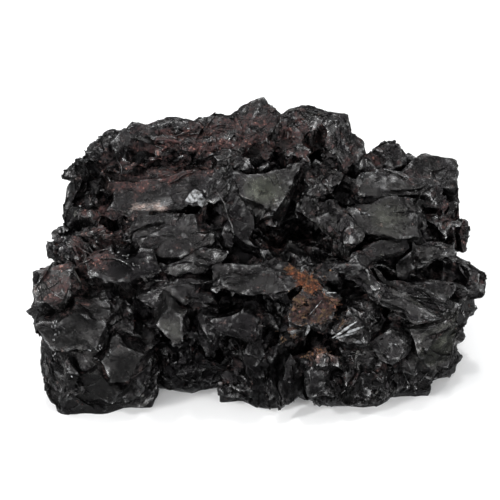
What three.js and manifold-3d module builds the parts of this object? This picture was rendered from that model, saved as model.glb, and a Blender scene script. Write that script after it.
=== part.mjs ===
// A hand-sized lump of specular hematite: one mass of black metallic plates that grew through one
// another, with open hollows between them. Millimetres, +Z up, X along the lump's length, Y towards its
// back. It rests on the flats under it, at Z = 0, and the origin is under the middle of its box.
import * as THREE from "three";
import { ConvexGeometry } from "three/addons/geometries/ConvexGeometry.js";
import { mergeVertices } from "three/addons/utils/BufferGeometryUtils.js";
import Module from "manifold-3d";

const wasm = await Module();
wasm.setup();

const GOLDEN_ANGLE = Math.PI * (3 - Math.sqrt(5));
const MERGE = 1e-4;
const WORK_SPAN = 200;
const NEARLY_UPRIGHT = 0.05;
// The plates that cover the mass between the named ones. They stand in patches, and each patch has its own
// lean, so that neighbouring plates lie nearly parallel, in small books.
const COVER = {
  seed: 39,
  patches: 26,
  patchesWithin: [55, 35, 60],
  leanLeast: 8,
  leanRange: 40,
  leanSpread: 12,
  tries: 4000,
  apart: 10,
  buried: 1.5,
  aboveFloor: 2,
  smallest: 12,
  sizeRange: 10,
  thinnest: 1.6,
  thickRange: 2.4,
  overhang: 3.6,
  fullOverhangAbove: 14,
};
const radians = THREE.MathUtils.degToRad;

// A repeatable stream of numbers from 0 to 1.
function stream(seed) {
  let state = seed * 2654435761;
  return () => {
    state = (state + 0x6d2b79f5) | 0;
    let t = Math.imul(state ^ (state >>> 15), 1 | state);
    t = (t + Math.imul(t ^ (t >>> 7), 61 | t)) ^ t;
    return ((t ^ (t >>> 14)) >>> 0) / 4294967296;
  };
}

// A closed geometry as a solid that can be joined and cut.
function solid(geometry) {
  geometry.deleteAttribute("normal");
  geometry.deleteAttribute("uv");
  const merged = mergeVertices(geometry, MERGE);
  return new wasm.Manifold(
    new wasm.Mesh({
      numProp: 3,
      vertProperties: merged.attributes.position.array,
      triVerts: new Uint32Array(merged.index.array),
    }),
  );
}

// The direction at an angle round from the front (-Y), towards +X, and an angle up from level.
function direction(round, up) {
  const [a, e] = [radians(round), radians(up)];
  return new THREE.Vector3(Math.sin(a) * Math.cos(e), -Math.cos(a) * Math.cos(e), Math.sin(e));
}

// A blunt lump with flat faces: the hull of points spread over a squarish ellipsoid.
function lump({ at, radii, turn = [0, 0, 0], corners = 34, rough = 0.12, square = 0.7, seed = 1 }) {
  const next = stream(seed);
  const points = [];
  for (let i = 0; i < corners; i++) {
    const height = 1 - (2 * (i + 0.5)) / corners;
    const around = i * GOLDEN_ANGLE + 0.7 * next();
    const ring = Math.sqrt(1 - height * height);
    const reach = 1 - rough * next();
    const unit = [ring * Math.cos(around), ring * Math.sin(around), height];
    const point = unit.map((c, k) => Math.sign(c) * Math.abs(c) ** square * reach * radii[k]);
    points.push(new THREE.Vector3(...point));
  }
  const geometry = new ConvexGeometry(points);
  geometry.applyMatrix4(
    new THREE.Matrix4().compose(
      new THREE.Vector3(...at),
      new THREE.Quaternion().setFromEuler(new THREE.Euler(...turn.map(radians))),
      new THREE.Vector3(1, 1, 1),
    ),
  );
  return solid(geometry);
}

// The corners of a crystal plate with bevelled edges. at is the middle of its outer face, normal the way
// that face looks, across its level width and down its length up the slope. Its rim is an irregular
// polygon, or the outline given as shares of across and down, and spin turns it in its own plane. A knife
// plate is thin at its whole rim.
function plateCorners({
  at,
  normal,
  across,
  down = across,
  thick,
  spin = 0,
  corners = 5,
  outline = null,
  bevel = 0.4,
  knife = false,
  seed = 1,
}) {
  const next = stream(seed);
  const level = new THREE.Vector3(0, 0, 1).cross(normal);
  if (level.length() < NEARLY_UPRIGHT) level.set(1, 0, 0);
  level.normalize();
  const slope = normal.clone().cross(level).normalize();
  const twist = radians(spin);
  const rim = outline ?? [];
  for (let i = 0; !outline && i < corners; i++) {
    const angle = (2 * Math.PI * (i + 0.6 * next())) / corners;
    const reach = 0.52 - 0.2 * next();
    rim.push([Math.cos(angle) * reach, Math.sin(angle) * reach]);
  }
  const wide = 1 + Math.min(0.6, (2 * bevel * thick) / Math.min(across, down));
  const belt = 0.3 + 0.3 * next();
  const layers = knife ? [[0, 1], [belt, wide], [1, 1]] : [[0, 1], [1, wide]];
  const points = [];
  for (const [depth, share] of layers)
    for (const [u, v] of rim) {
      const a = u * across * share;
      const b = v * down * share;
      points.push(
        new THREE.Vector3(...at)
          .addScaledVector(level, a * Math.cos(twist) - b * Math.sin(twist))
          .addScaledVector(slope, a * Math.sin(twist) + b * Math.cos(twist))
          .addScaledVector(normal, -depth * thick),
      );
    }
  return points;
}

const plate = (options) => solid(new ConvexGeometry(plateCorners(options)));

const CORE = [
  { at: [-38, -9, 10], radii: [14.5, 17, 22], turn: [-4, 0, 6], seed: 3 },
  { at: [-17, -7, 25], radii: [13, 16, 9], turn: [-6, 0, 0], seed: 4 },
  { at: [-16, -3, 9], radii: [14, 13, 19], seed: 18 },
  { at: [2, -6, 11], radii: [15, 18, 21], turn: [-4, 0, 0], seed: 5 },
  { at: [20, -7, 10], radii: [14, 18, 20], turn: [-4, 0, 0], seed: 14 },
  { at: [36, -2, 10], radii: [14, 18, 21], turn: [0, 0, -10], seed: 6 },
  { at: [-27, 5, 30], radii: [18, 16, 12.5], turn: [30, 0, 0], seed: 15 },
  { at: [0, 6, 31], radii: [18, 15, 12], turn: [30, 0, 0], seed: 16 },
  { at: [27, 4, 31], radii: [19, 15, 11.5], turn: [28, 0, 0], seed: 17 },
  { at: [-29, 19, 38], radii: [16, 12, 15.5], turn: [0, -4, 0], seed: 7 },
  { at: [-6, 21, 40], radii: [17, 12, 17], seed: 8 },
  { at: [13, 18, 43], radii: [10.5, 12, 13.5], turn: [0, 0, 20], seed: 12 },
  { at: [33, 12, 31], radii: [17, 16, 14.5], turn: [0, 8, 0], seed: 9 },
  { at: [-23, 14, 16], radii: [26, 17, 21], seed: 10 },
  { at: [22, 14, 16], radii: [26, 17, 20], seed: 11 },
];

// The facets and blades that stand out, by where the middle of each outer face is and the way it looks:
// degrees round from the front, and degrees up.
const LEDGES = {
  // The crest and the two ends, seen against the sky.
  peak: {
    at: [1.3, 19.5, 56.5], looks: [10, 50], across: 13, down: 14, thick: 11, bevel: 0.1,
    outline: [[-0.5, -0.5], [-0.5, 0.1], [-0.1, 0.45], [0.1, 0.5], [0.45, 0.05], [0.5, -0.5]],
  },
  peakShoulder: { at: [-8.3, 18.5, 54.8], looks: [-20, 52], across: 13, down: 10, thick: 8, seed: 22 },
  backRidge: { at: [-19, 18, 54], looks: [-5, 58], across: 19, down: 10, thick: 7, seed: 23 },
  leftCorner: {
    at: [-30, 15.5, 52.5], looks: [-15, 45], across: 12, down: 11, thick: 8, bevel: 0.2,
    outline: [[-0.5, -0.2], [-0.15, 0.5], [0.45, 0.35], [0.5, -0.3], [0, -0.5]],
  },
  leftShoulder: { at: [-38.6, 9, 46.3], looks: [-30, 50], across: 12, down: 11, thick: 6, seed: 25 },
  leftCheek: { at: [-43.2, 3, 44.2], looks: [-55, 25], across: 11, down: 13, thick: 6, seed: 26 },
  leftJaw: { at: [-46, -6, 34.5], looks: [-30, 55], across: 12, down: 9, thick: 5, seed: 27 },
  leftEdge: { at: [-50, -12, 26], looks: [-45, 25], across: 12, down: 12, thick: 8, seed: 28 },
  leftHeel: { at: [-50, -14.5, 8.5], looks: [-55, 0], across: 13, down: 14, thick: 8, seed: 29 },
  rightTop: {
    at: [13, 17, 57], looks: [4, 62], across: 17, down: 9, thick: 8, bevel: 0.2,
    outline: [[-0.5, -0.3], [-0.42, 0.35], [0, 0.5], [0.45, 0.4], [0.5, -0.2], [0.1, -0.5]],
  },
  rightTopFront: {
    at: [21.3, 14, 53.6], looks: [40, 30], across: 10, down: 13, thick: 8,
    outline: [[-0.5, -0.4], [-0.35, 0.5], [0.05, 0.46], [0.5, -0.1], [0.5, -0.5]],
  },
  rightTopBrow: { at: [12, 12, 53.5], looks: [-12, 45], across: 12, down: 6, thick: 4, spin: -6, seed: 31 },
  saddle: { at: [29.8, 14.5, 47.9], looks: [15, 60], across: 18, down: 10, thick: 8, seed: 32 },
  rightShoulder: { at: [41, 10.5, 46.8], looks: [26, 56], across: 16, down: 11, thick: 8, seed: 33 },
  rightCheek: { at: [46.3, 3, 39], looks: [65, 20], across: 11, down: 12, thick: 6, seed: 34 },
  rightFlank: { at: [47.5, 2, 31], looks: [70, 5], across: 13, down: 12, thick: 6, seed: 37 },
  rightTip: {
    at: [44.2, -6, 27.4], looks: [12, 52], across: 18, down: 10, thick: 3.4, knife: true,
    outline: [[-0.5, 0.2], [0, 0.5], [0.3, 0.35], [0.5, 0], [0.4, -0.45], [0, -0.5], [-0.45, -0.3]],
  },
  rightStep: { at: [50.2, -7.5, 19.8], looks: [60, 15], across: 11, down: 9, thick: 8, seed: 35 },
  rightHeel: { at: [46, -9, 8.5], looks: [55, -5], across: 13, down: 11, thick: 8, seed: 36 },

  // The slope at the upper left: ribs, a trough, a long smooth ramp and the plates below it.
  crestRib: {
    at: [-19, 14, 52.5], looks: [12, 40], across: 17, down: 3.4,
    thick: 4, spin: -14, seed: 38, knife: true,
  },
  upperRib: { at: [-26, 9.5, 49.5], looks: [5, 38], across: 22, down: 3.6, thick: 5, spin: 6, seed: 39 },
  cheekBlade: {
    at: [-37, 5.5, 47], looks: [40, 25], across: 3, down: 14,
    thick: 2.2, spin: 12, seed: 46, knife: true,
  },
  cheekSpur: {
    at: [-42, 3, 43.5], looks: [-30, 25], across: 3, down: 11,
    thick: 2.4, spin: -24, seed: 47, knife: true,
  },
  ramp: {
    at: [-22.5, 2, 45], looks: [-10, 62], across: 38, down: 12, thick: 6, spin: 10, bevel: 0.2,
    outline: [[-0.5, -0.2], [-0.42, 0.35], [-0.1, 0.5], [0.45, 0.4], [0.5, 0], [0.02, -0.42], [-0.25, -0.5]],
  },
  lowerRib: {
    at: [-31, -6.5, 40.6], looks: [-12, 40], across: 20, down: 3.6,
    thick: 2.6, spin: 16, seed: 48, knife: true,
  },
  greyLens: {
    at: [-20, -8.5, 39.3], looks: [-10, 50], across: 22, down: 10, thick: 4, spin: 4,
    outline: [[-0.5, 0.1], [-0.25, 0.45], [0.2, 0.5], [0.5, 0.2], [0.4, -0.25], [0.05, -0.5], [-0.32, -0.4]],
  },
  triangle: {
    at: [-13, -5, 42], looks: [-10, 45], across: 11, down: 11, thick: 5,
    outline: [[-0.5, -0.45], [0, 0.5], [0.5, -0.5]],
  },
  flameBlade: {
    at: [-5, -4.5, 43.5], looks: [28, 32], across: 8, down: 19, thick: 4, knife: true,
    outline: [[-0.5, 0.2], [-0.15, 0.5], [0.3, 0.45], [0.5, 0.05], [0.35, -0.5], [-0.1, -0.3]],
  },
  flameBack: {
    at: [-8.5, -4, 43.5], looks: [-28, 38], across: 6, down: 14, thick: 4, knife: true,
    outline: [[-0.5, -0.5], [-0.1, 0.5], [0.4, 0.35], [0.5, -0.4]],
  },

  // The pale facet over the deep middle hollow, and the plates round it.
  paleFacet: {
    at: [2, -1.5, 48.5], looks: [5, 46], across: 15.5, down: 11, thick: 3,
    outline: [[-0.5, 0.42], [0.5, 0.5], [0.36, 0.05], [0.2, -0.5], [-0.1, -0.5], [-0.38, -0.1]],
  },
  darkLean: {
    at: [10.5, 1.5, 47], looks: [-35, 35], across: 8, down: 13, thick: 5, spin: 8,
    outline: [[-0.5, -0.3], [0.1, 0.5], [0.5, 0.4], [0.3, -0.4]],
  },
  hollowRoof: { at: [16, -3, 43.5], looks: [-25, 52], across: 14, down: 9, thick: 3, spin: -20, seed: 52 },
  hollowSill: { at: [15, -14.5, 34.5], looks: [5, 60], across: 13, down: 6, thick: 4, seed: 53 },
  hollowPost: {
    at: [20, -9, 39], looks: [-25, 20], across: 4, down: 9,
    thick: 3, spin: 10, seed: 54, knife: true,
  },
  middleRib: { at: [-3, 7, 51.5], looks: [10, 42], across: 12, down: 4, thick: 4, spin: -4, seed: 55 },

  // The right shoulder.
  curvedSlab: {
    at: [31, 3.5, 47.2], looks: [0, 50], across: 15.5, down: 6, thick: 3.6, knife: true,
    outline: [[-0.5, 0.1], [-0.3, 0.45], [0.15, 0.5], [0.5, 0.25], [0.4, -0.3], [-0.05, -0.5], [-0.4, -0.3]],
  },
  greenFacet: {
    at: [29, -5, 42.5], looks: [8, 45], across: 16, down: 10, thick: 5,
    outline: [[-0.5, 0.3], [0, 0.5], [0.5, 0.45], [0.42, -0.4], [0.05, -0.5], [-0.45, -0.1]],
  },
  innerSlab: { at: [19, 4, 46.5], looks: [5, 50], across: 10, down: 8, thick: 4, seed: 56 },
  shoulderFlat: { at: [41, 2, 43.5], looks: [20, 52], across: 10, down: 9, thick: 4, seed: 57 },
  shoulderWall: { at: [44, -2, 39], looks: [20, 20], across: 9, down: 7, thick: 4, seed: 58 },
  slitRoof: {
    at: [39, -6.5, 35.5], looks: [12, 58], across: 17, down: 5,
    thick: 2.8, spin: -6, seed: 59, knife: true,
  },
  slitFloor: {
    at: [39, -13, 29], looks: [14, 60], across: 16, down: 6,
    thick: 2.6, spin: -4, seed: 60, knife: true,
  },
  strut: { at: [34.5, -11, 32.5], looks: [-15, 18], across: 4.5, down: 9, thick: 3, seed: 61 },
  flakeHigh: {
    at: [26, -11.5, 37], looks: [25, 62], across: 16, down: 6,
    thick: 2, spin: 10, seed: 62, knife: true,
  },
  flakeLow: {
    at: [24, -17.5, 33], looks: [-25, 42], across: 14, down: 6,
    thick: 2.2, spin: -14, seed: 63, knife: true,
  },
  crossBlade: {
    at: [31, -19, 30], looks: [10, 40], across: 18, down: 4,
    thick: 2.2, spin: -28, seed: 64, knife: true,
  },

  // The front, above the feet.
  tongue: {
    at: [1, -19.5, 35.5], looks: [3, 68], across: 21, down: 9, thick: 2.4, knife: true,
    outline: [[-0.5, 0.3], [0.1, 0.5], [0.5, 0.2], [0.25, -0.3], [-0.1, -0.5], [-0.45, -0.2]],
  },
  longRib: {
    at: [-15, -14.5, 36], looks: [-15, 60], across: 20, down: 5,
    thick: 2, spin: 16, seed: 66, knife: true,
  },
  longRibLow: {
    at: [-16, -19.5, 32.5], looks: [5, 62], across: 18, down: 6,
    thick: 2, spin: 8, seed: 67, knife: true,
  },
  hood: {
    at: [-31, -14.5, 36.8], looks: [8, 52], across: 13, down: 7, thick: 2.4, knife: true, spin: -14,
    outline: [[-0.5, 0], [-0.2, 0.5], [0.4, 0.45], [0.5, -0.1], [0.1, -0.45], [-0.35, -0.4]],
  },
  starBlade: {
    at: [-40, -12, 36], looks: [40, 30], across: 3, down: 12,
    thick: 2.2, spin: 16, seed: 68, knife: true,
  },
  redFacet: {
    at: [-47.2, -17, 32.5], looks: [-30, 48], across: 15, down: 11,
    thick: 7, seed: 69,
  },
  footUpper: { at: [-41, -24, 24.5], looks: [-12, 14], across: 19, down: 13, thick: 9, seed: 70 },
  footFront: { at: [-31, -26, 17.5], looks: [12, 8], across: 15, down: 13, thick: 9, seed: 71 },
  footLower: { at: [-40.2, -24.5, 8.3], looks: [-12, -8], across: 21, down: 13, thick: 10, seed: 72 },
  footRidge: {
    at: [-44, -26, 11.5], looks: [20, 5], across: 2.6, down: 11,
    thick: 2.4, spin: -10, seed: 86, knife: true,
  },
  greenFacetLow: {
    at: [-19.5, -25.5, 26.5], looks: [10, 14], across: 8, down: 11,
    thick: 5, seed: 73, corners: 5,
  },
  recessWall: { at: [-13, -24.5, 24], looks: [-35, 10], across: 6, down: 13, thick: 5, seed: 74 },
  middleBlock: { at: [-4, -24.5, 26.5], looks: [-10, 25], across: 14, down: 8, thick: 6, seed: 75 },
  middleBlockLow: { at: [0, -25.5, 20], looks: [18, 8], across: 9, down: 9, thick: 5, seed: 76 },
  crustBed: { at: [13, -22, 30], looks: [5, 35], across: 13, down: 14, thick: 5, seed: 77 },
  pocketSill: { at: [14.5, -26.5, 17.6], looks: [5, 34], across: 11, down: 4, thick: 4.5, seed: 78 },
  silverFan: { at: [21, -24.5, 24], looks: [-15, 20], across: 8, down: 10, thick: 4, spin: 20, seed: 79 },
  paleBlock: {
    at: [41, -19.2, 17], looks: [22, 18], across: 13.5, down: 14, thick: 9, bevel: 0.2,
    outline: [[-0.5, 0.42], [0.1, 0.5], [0.5, 0.4], [0.48, -0.1], [0.3, -0.5], [-0.1, -0.5], [-0.4, -0.05]],
  },
  darkBlock: {
    at: [34.5, -18.5, 15], looks: [-42, 6], across: 8, down: 12, thick: 7, bevel: 0.2,
    outline: [[-0.5, 0.4], [0.5, 0.5], [0.4, -0.5], [0.1, -0.45]],
  },
  blockRoof: { at: [41, -14.5, 24.3], looks: [14, 55], across: 19, down: 9, thick: 5, seed: 80 },
  rightPlate: { at: [29, -22.5, 19], looks: [-5, 18], across: 12, down: 10, thick: 6, seed: 81 },
  rightFoot: { at: [25, -23.5, 8], looks: [12, -5], across: 17, down: 14, thick: 8, seed: 82 },
  footBladeA: {
    at: [8, -25, 11], looks: [35, 5], across: 7, down: 15,
    thick: 2.6, spin: -8, seed: 83, knife: true,
  },
  footBladeB: {
    at: [14, -26, 10], looks: [30, 5], across: 7, down: 15,
    thick: 2.6, spin: 6, seed: 84, knife: true,
  },
  footBladeC: {
    at: [1, -22, 9.5], looks: [-30, 5], across: 8, down: 14,
    thick: 3, spin: 5, seed: 85, knife: true,
  },
};

// The open hollows between the plates, and the shallow ones under the lump that leave flats for it to
// rest on.
const HOLLOWS = [
  { at: [8, -5, 37.6], radii: [12.5, 13, 4.9], turn: [-10, 4, 0], seed: 1 },
  { at: [-31.5, -20, 32.4], radii: [4.6, 8, 3.2], turn: [-14, 10, 0], seed: 2 },
  { at: [-33, -4, 40], radii: [3, 6, 2.2], seed: 3 },
  { at: [-3, -22, 32], radii: [8, 7, 1.8], turn: [0, 8, 0], seed: 4 },
  { at: [43, -12, 32.5], radii: [5.5, 8, 2.4], turn: [0, 5, -20], seed: 5 },
  { at: [47, -3, 36], radii: [4, 6, 4], turn: [0, 0, 40], seed: 6 },
  { at: [14, 11, 51], radii: [2.6, 5, 2.6], seed: 7 },
  { at: [16, 7.5, 49], radii: [2.2, 5, 2], seed: 8 },
  { at: [-1, 6, 49.5], radii: [3.2, 6, 2], turn: [0, -15, 0], seed: 9 },
  { at: [0, 10.5, 52], radii: [2.6, 5, 1.6], seed: 10 },
  { at: [14, -26, 20.6], radii: [4.8, 5, 2.2], seed: 11 },
  { at: [-7, -26, 12], radii: [7, 8, 11], seed: 13 },
  { at: [-42, 1, 45], radii: [3, 6, 4.5], turn: [0, 20, 0], seed: 14 },
  { at: [-23, 9, 48], radii: [13, 3.4, 2], turn: [20, -6, 0], seed: 15 },
  { at: [40, -1, 42], radii: [3, 5, 1.8], seed: 16 },
  { at: [30, -25, 24], radii: [5, 6, 3], turn: [0, 0, 25], seed: 17 },
  { at: [-25, -24, 25.5], radii: [3, 5, 2.6], seed: 18 },
  { at: [-16, -25, 26], radii: [2.4, 6, 5], seed: 19 },
  { at: [-15, 8, 0], radii: [15, 8, 2], turn: [0, 0, 20], seed: 20 },
  { at: [12, -6, 0], radii: [9, 12, 2.4], turn: [0, 0, -15], seed: 21 },
  { at: [27, 10, 0], radii: [9, 11, 1.8], turn: [0, 0, 30], seed: 22 },
  { at: [-37, -4, 0], radii: [8, 7, 1.6], seed: 23 },
  { at: [47, -18, 0], radii: [8, 9, 6], turn: [0, 0, 30], seed: 24 },
];

// How far outside the lumps a point is, in millimetres; negative inside.
function clearance(point, lumps = CORE) {
  return Math.min(
    ...lumps.map(({ at, radii }) => {
      const share = Math.hypot(...["x", "y", "z"].map((k, i) => (point[k] - at[i]) / radii[i]));
      return (share - 1) * Math.min(...radii);
    }),
  );
}

function cover() {
  const patchesWithin = new THREE.Vector3(...COVER.patchesWithin);
  const spread = (next) => 2 * next() - 1;
  const ball = (next) => new THREE.Vector3(spread(next), spread(next), spread(next)).normalize();
  const draw = stream(COVER.seed);
  const patches = Array.from({ length: COVER.patches }, () => ({
    at: new THREE.Vector3(spread(draw), spread(draw), draw()).multiply(patchesWithin),
    lean: ball(draw),
    tilt: COVER.leanLeast + COVER.leanRange * draw(),
  }));
  const taken = Object.values(LEDGES).map(({ at }) => new THREE.Vector3(...at));
  const made = [];
  for (let tries = 0; tries < COVER.tries; tries++) {
    // Each try draws its own numbers, so that a change in one place leaves the others as they are.
    const next = stream(COVER.seed * COVER.tries + tries);
    const home = CORE[Math.floor(next() * CORE.length)];
    const way = ball(next);
    const [x, y, z] = home.at.map((c, i) => c + way.getComponent(i) * home.radii[i]);
    const point = new THREE.Vector3(x, y, z);
    const others = CORE.filter((one) => one !== home);
    if (z < COVER.aboveFloor || clearance(point, others) < -COVER.buried) continue;
    if (taken.some((one) => one.distanceTo(point) < COVER.apart)) continue;
    const outward = new THREE.Vector3(...way.toArray().map((c, i) => c / home.radii[i])).normalize();
    const patch = patches.reduce((a, b) => (point.distanceTo(a.at) < point.distanceTo(b.at) ? a : b));
    const axis = outward.clone().cross(patch.lean).normalize();
    const tilt = radians(patch.tilt + COVER.leanSpread * spread(next));
    const normal = outward.clone().applyAxisAngle(axis, tilt);
    const size = COVER.smallest + COVER.sizeRange * next() ** 1.4;
    const options = {
      at: point.toArray(),
      normal,
      across: size * (0.9 + 0.3 * next()),
      down: size * (0.5 + 0.4 * next()),
      thick: COVER.thinnest + COVER.thickRange * next() ** 2,
      spin: 360 * next(),
      corners: 4 + Math.floor(3 * next()),
      bevel: 0.15 + 0.3 * next(),
      seed: 1 + Math.floor(1e6 * next()),
    };
    const proud = Math.max(...plateCorners(options).map((corner) => clearance(corner)));
    const overhang = COVER.overhang * (0.5 + 0.5 * next()) * Math.min(1, z / COVER.fullOverhangAbove);
    options.at = point.clone().addScaledVector(outward, overhang - proud).toArray();
    made.push(plate(options));
    taken.push(point);
  }
  return made;
}

const join = (solids, start) => solids.reduce((all, one) => all.add(one), start);
const cut = (solids, start) => solids.reduce((all, one) => all.subtract(one), start);

const [first, ...rest] = CORE.map(lump);
const ledges = Object.values(LEDGES).map(({ looks, ...ledge }) =>
  plate({ normal: direction(...looks), ...ledge }),
);
const hollows = HOLLOWS.map((hollow) => lump({ corners: 16, square: 0.85, ...hollow }));
const below = new THREE.BoxGeometry(WORK_SPAN, WORK_SPAN, WORK_SPAN);
below.translate(0, 0, -WORK_SPAN / 2);
const grown = join([...rest, ...cover(), ...ledges], first);
const broken = cut([...hollows, solid(below)], grown);

// Only the mass itself is kept, without chips that the cuts left loose, over the middle of its own box.
const mass = broken.decompose().sort((a, b) => b.volume() - a.volume())[0];
const box = mass.boundingBox();
const { vertProperties, triVerts } = mass.getMesh();
const geometry = new THREE.BufferGeometry();
geometry.setAttribute("position", new THREE.BufferAttribute(vertProperties, 3));
geometry.setIndex(new THREE.BufferAttribute(triVerts, 1));
geometry.translate(-(box.min[0] + box.max[0]) / 2, -(box.min[1] + box.max[1]) / 2, -box.min[2]);
geometry.computeVertexNormals();
const hematite = new THREE.Mesh(
  geometry,
  new THREE.MeshStandardMaterial({ color: 0x2b2a2b, roughness: 0.35, metalness: 0.8 }),
);
hematite.name = "hematite";
const part = new THREE.Group();
part.add(hematite);
export default part;
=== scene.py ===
"""The looks of a lump of specular hematite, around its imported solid.

The lump's own surface is the CAD solid, refined and broken into tilted cells with sharp edges, as platy
hematite breaks. Thin ribs, plates and grains grow out of it. Red-brown dust lies in the hollows, one
pocket holds a rust-orange crust, and a few clean flakes shine. Lengths are in millimetres until a mesh
is made.
"""
import math
from itertools import product

import bmesh
import bpy
import numpy as np
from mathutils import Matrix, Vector
from mathutils.bvhtree import BVHTree
from mathutils.kdtree import KDTree


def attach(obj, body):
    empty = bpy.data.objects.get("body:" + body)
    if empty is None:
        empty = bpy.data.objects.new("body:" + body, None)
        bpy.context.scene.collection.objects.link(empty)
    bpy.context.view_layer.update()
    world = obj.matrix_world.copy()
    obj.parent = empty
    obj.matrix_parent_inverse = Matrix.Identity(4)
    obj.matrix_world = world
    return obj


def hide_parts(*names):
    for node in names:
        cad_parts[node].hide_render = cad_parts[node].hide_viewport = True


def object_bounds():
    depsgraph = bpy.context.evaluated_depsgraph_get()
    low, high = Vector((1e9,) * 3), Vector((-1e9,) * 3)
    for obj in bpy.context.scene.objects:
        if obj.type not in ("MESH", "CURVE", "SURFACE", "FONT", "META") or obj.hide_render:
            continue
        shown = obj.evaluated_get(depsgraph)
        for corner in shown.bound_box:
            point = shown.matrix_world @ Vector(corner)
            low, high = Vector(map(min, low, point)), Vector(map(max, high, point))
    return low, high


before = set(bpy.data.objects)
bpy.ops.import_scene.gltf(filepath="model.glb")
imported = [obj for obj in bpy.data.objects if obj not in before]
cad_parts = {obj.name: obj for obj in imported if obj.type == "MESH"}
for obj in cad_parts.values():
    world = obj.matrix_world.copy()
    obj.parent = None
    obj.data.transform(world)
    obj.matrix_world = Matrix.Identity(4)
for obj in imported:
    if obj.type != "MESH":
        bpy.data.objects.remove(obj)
cad_low, cad_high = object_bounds()

MM = 0.001
SEED = 11
LUMP = "hematite"
BODY = "root"

# How far the pieces may stand outside the solid's box.
PROUD = np.array([0.8, 0.6, 0.6])
BOX_LOW = np.array(cad_low) / MM - PROUD * (1, 1, 0)
BOX_HIGH = np.array(cad_high) / MM + PROUD

# The longest edges of the refined surface: at first, in front, behind and underneath.
COARSE_EDGE = 1.7
FINE_EDGE = 0.66
BACK_EDGE = 1.1
UNDER_EDGE = 2.2
SHARP_ANGLE = math.radians(30)
# The rays that tell how closed in a place is: how many, how far off the surface they start, their reach.
OPEN_RAYS = 18
OPEN_START, OPEN_REACH = 0.15, 13.0
# The broken surface is thinned out to about this many triangles.
LUMP_TRIANGLES = 192000

# Cells that break the surface: size, how far they are drawn out along the grain, tilt, edge height and
# share of the tone.
CELLS = (
    (7.5, 2.3, 0.50, 0.40, 0.65),
    (3.2, 1.9, 0.24, 0.20, 0.35),
)
# Open pockets between the plates: size, how far they are drawn out, depth and how many cells are open.
POCKETS = (
    (5.2, 1.7, 1.7, 0.24),
    (2.6, 1.5, 0.7, 0.20),
)
# Curved folds with thin crests: size, how far they are drawn out, height, and how thin the crest is and
# how much wear with painted highlight it gets.
FOLDS = (
    (8.0, 1.9, 1.15, 3.2, 0.9),
    (3.6, 1.7, 0.50, 2.8, 0.6),
)
FOLD_PATCH = 16.0
# The widest waves and the finest roughness: size and height.
WAVE_SIZE, WAVE = 11.0, 0.35
ROUGH_SIZE, ROUGH = 0.9, 0.035
# The patches in which the plates run one way.
WAY_PATCH = 15.0
# How much of the relief goes in a calm place.
CALMED = 0.9
# Triangles whose normals agree this well are one facet of the solid.
SAME_PLANE = 0.9995
# Plate rims, the sharp edges of the solid: how sharp, and how close their points are.
RIM_ANGLE = math.radians(32)
RIM_STRIDE = 0.4
# How far a rim steadies the surface and how much, how wide its wear with painted highlight is, and the size
# of its stretches.
RIM_STEADY, RIM_STEADIED = 1.1, 0.6
RIM_WEAR_AND_HIGHLIGHT, RIM_PATCH = 0.35, 4.0
# Bends that turn straight plate edges into curved ones: size and reach.
BENDS = ((10.0, 1.8), (4.5, 0.95), (1.8, 0.32))
# Tips that the bends leave where they are: middle, radius and how much.
UNBENT = (
    ((0, 14, 58), 9, 1),
    ((51, -6, 28), 8, 1),
    ((20, 13, 55), 8, 0.6),
    ((-53, -19, 28), 7, 0.7),
    ((-28, 14, 55), 7, 0.6),
)
# Tips that are drawn back towards the lump: middle, radius and shift.
DRAWN_BACK = (((12.3, -31.0, 3.0), 5.0, (0.6, 2.4, 3.2)),)
# Areas of facets, in square millimetres: the least that is calm or pale, and those with the full effect.
CALM_FACET, PALE_FACET = 8.0, 8.0
LARGE_FACET, SHADED_FACET = 70.0, 20.0
# Up to these heights a corner rests on the floor, and the relief fades towards it.
FLOOR_NEAR = 0.05
FLOOR_CALM = 1.5

# Red dust, by the middle of each dusty place, its radius and how thick the dust is.
DUST = (
    ((-28, 4, 45.5), 6, 1),
    ((-20, 5, 46), 7, 1),
    ((-12, 7, 46), 6, 1),
    ((-34, 3, 47), 6, 0.9),
    ((-25, -5, 42.5), 5, 0.5),
    ((-36, -8, 40), 7, 0.75),
    ((-46, -21, 32), 8, 0.75),
    ((-40, -15, 36), 7, 1),
    ((-35, -15, 34), 5, 0.8),
    ((-24, 10, 51), 8, 0.85),
    ((-12, 11, 53), 9, 0.75),
    ((-2, 11, 54), 9, 0.75),
    ((8, 9, 53), 8, 0.8),
    ((17, 8, 52), 8, 0.7),
    ((26, 9, 50), 8, 0.6),
    ((33, 6, 48), 6, 0.5),
    ((9.5, -26.5, 29), 5, 0.7),
    ((15, -26, 28.5), 5, 0.75),
    ((13.5, -27, 19), 6, 0.7),
    ((20, -13, 38.5), 5, 0.7),
    ((5, -8, 42), 5, 0.5),
    ((49, 2, 34), 6, 0.9),
    ((43, -4, 39), 7, 0.5),
    ((-14, -10, 40), 8, 0.3),
)
# Clean facets that look pale and a little green: middle, radius and how pale.
PALE = (
    ((1.6, -5.2, 48.5), 7.5, 1),
    ((28.6, -8.7, 42.5), 8.5, 0.8),
    ((40.6, -22.9, 17), 9, 1),
    ((-19.9, -29.2, 26.5), 5.5, 0.7),
    ((-27, -3.5, 44), 7, 0.5),
    ((-19, -2, 45.5), 5, 0.4),
    ((-42, -28, 20), 12, 0.5),
    ((-40, -28, 8), 10, 0.5),
    ((44, -20, 20), 8, 0.9),
    ((42, -18, 9), 9, 0.55),
)
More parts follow.
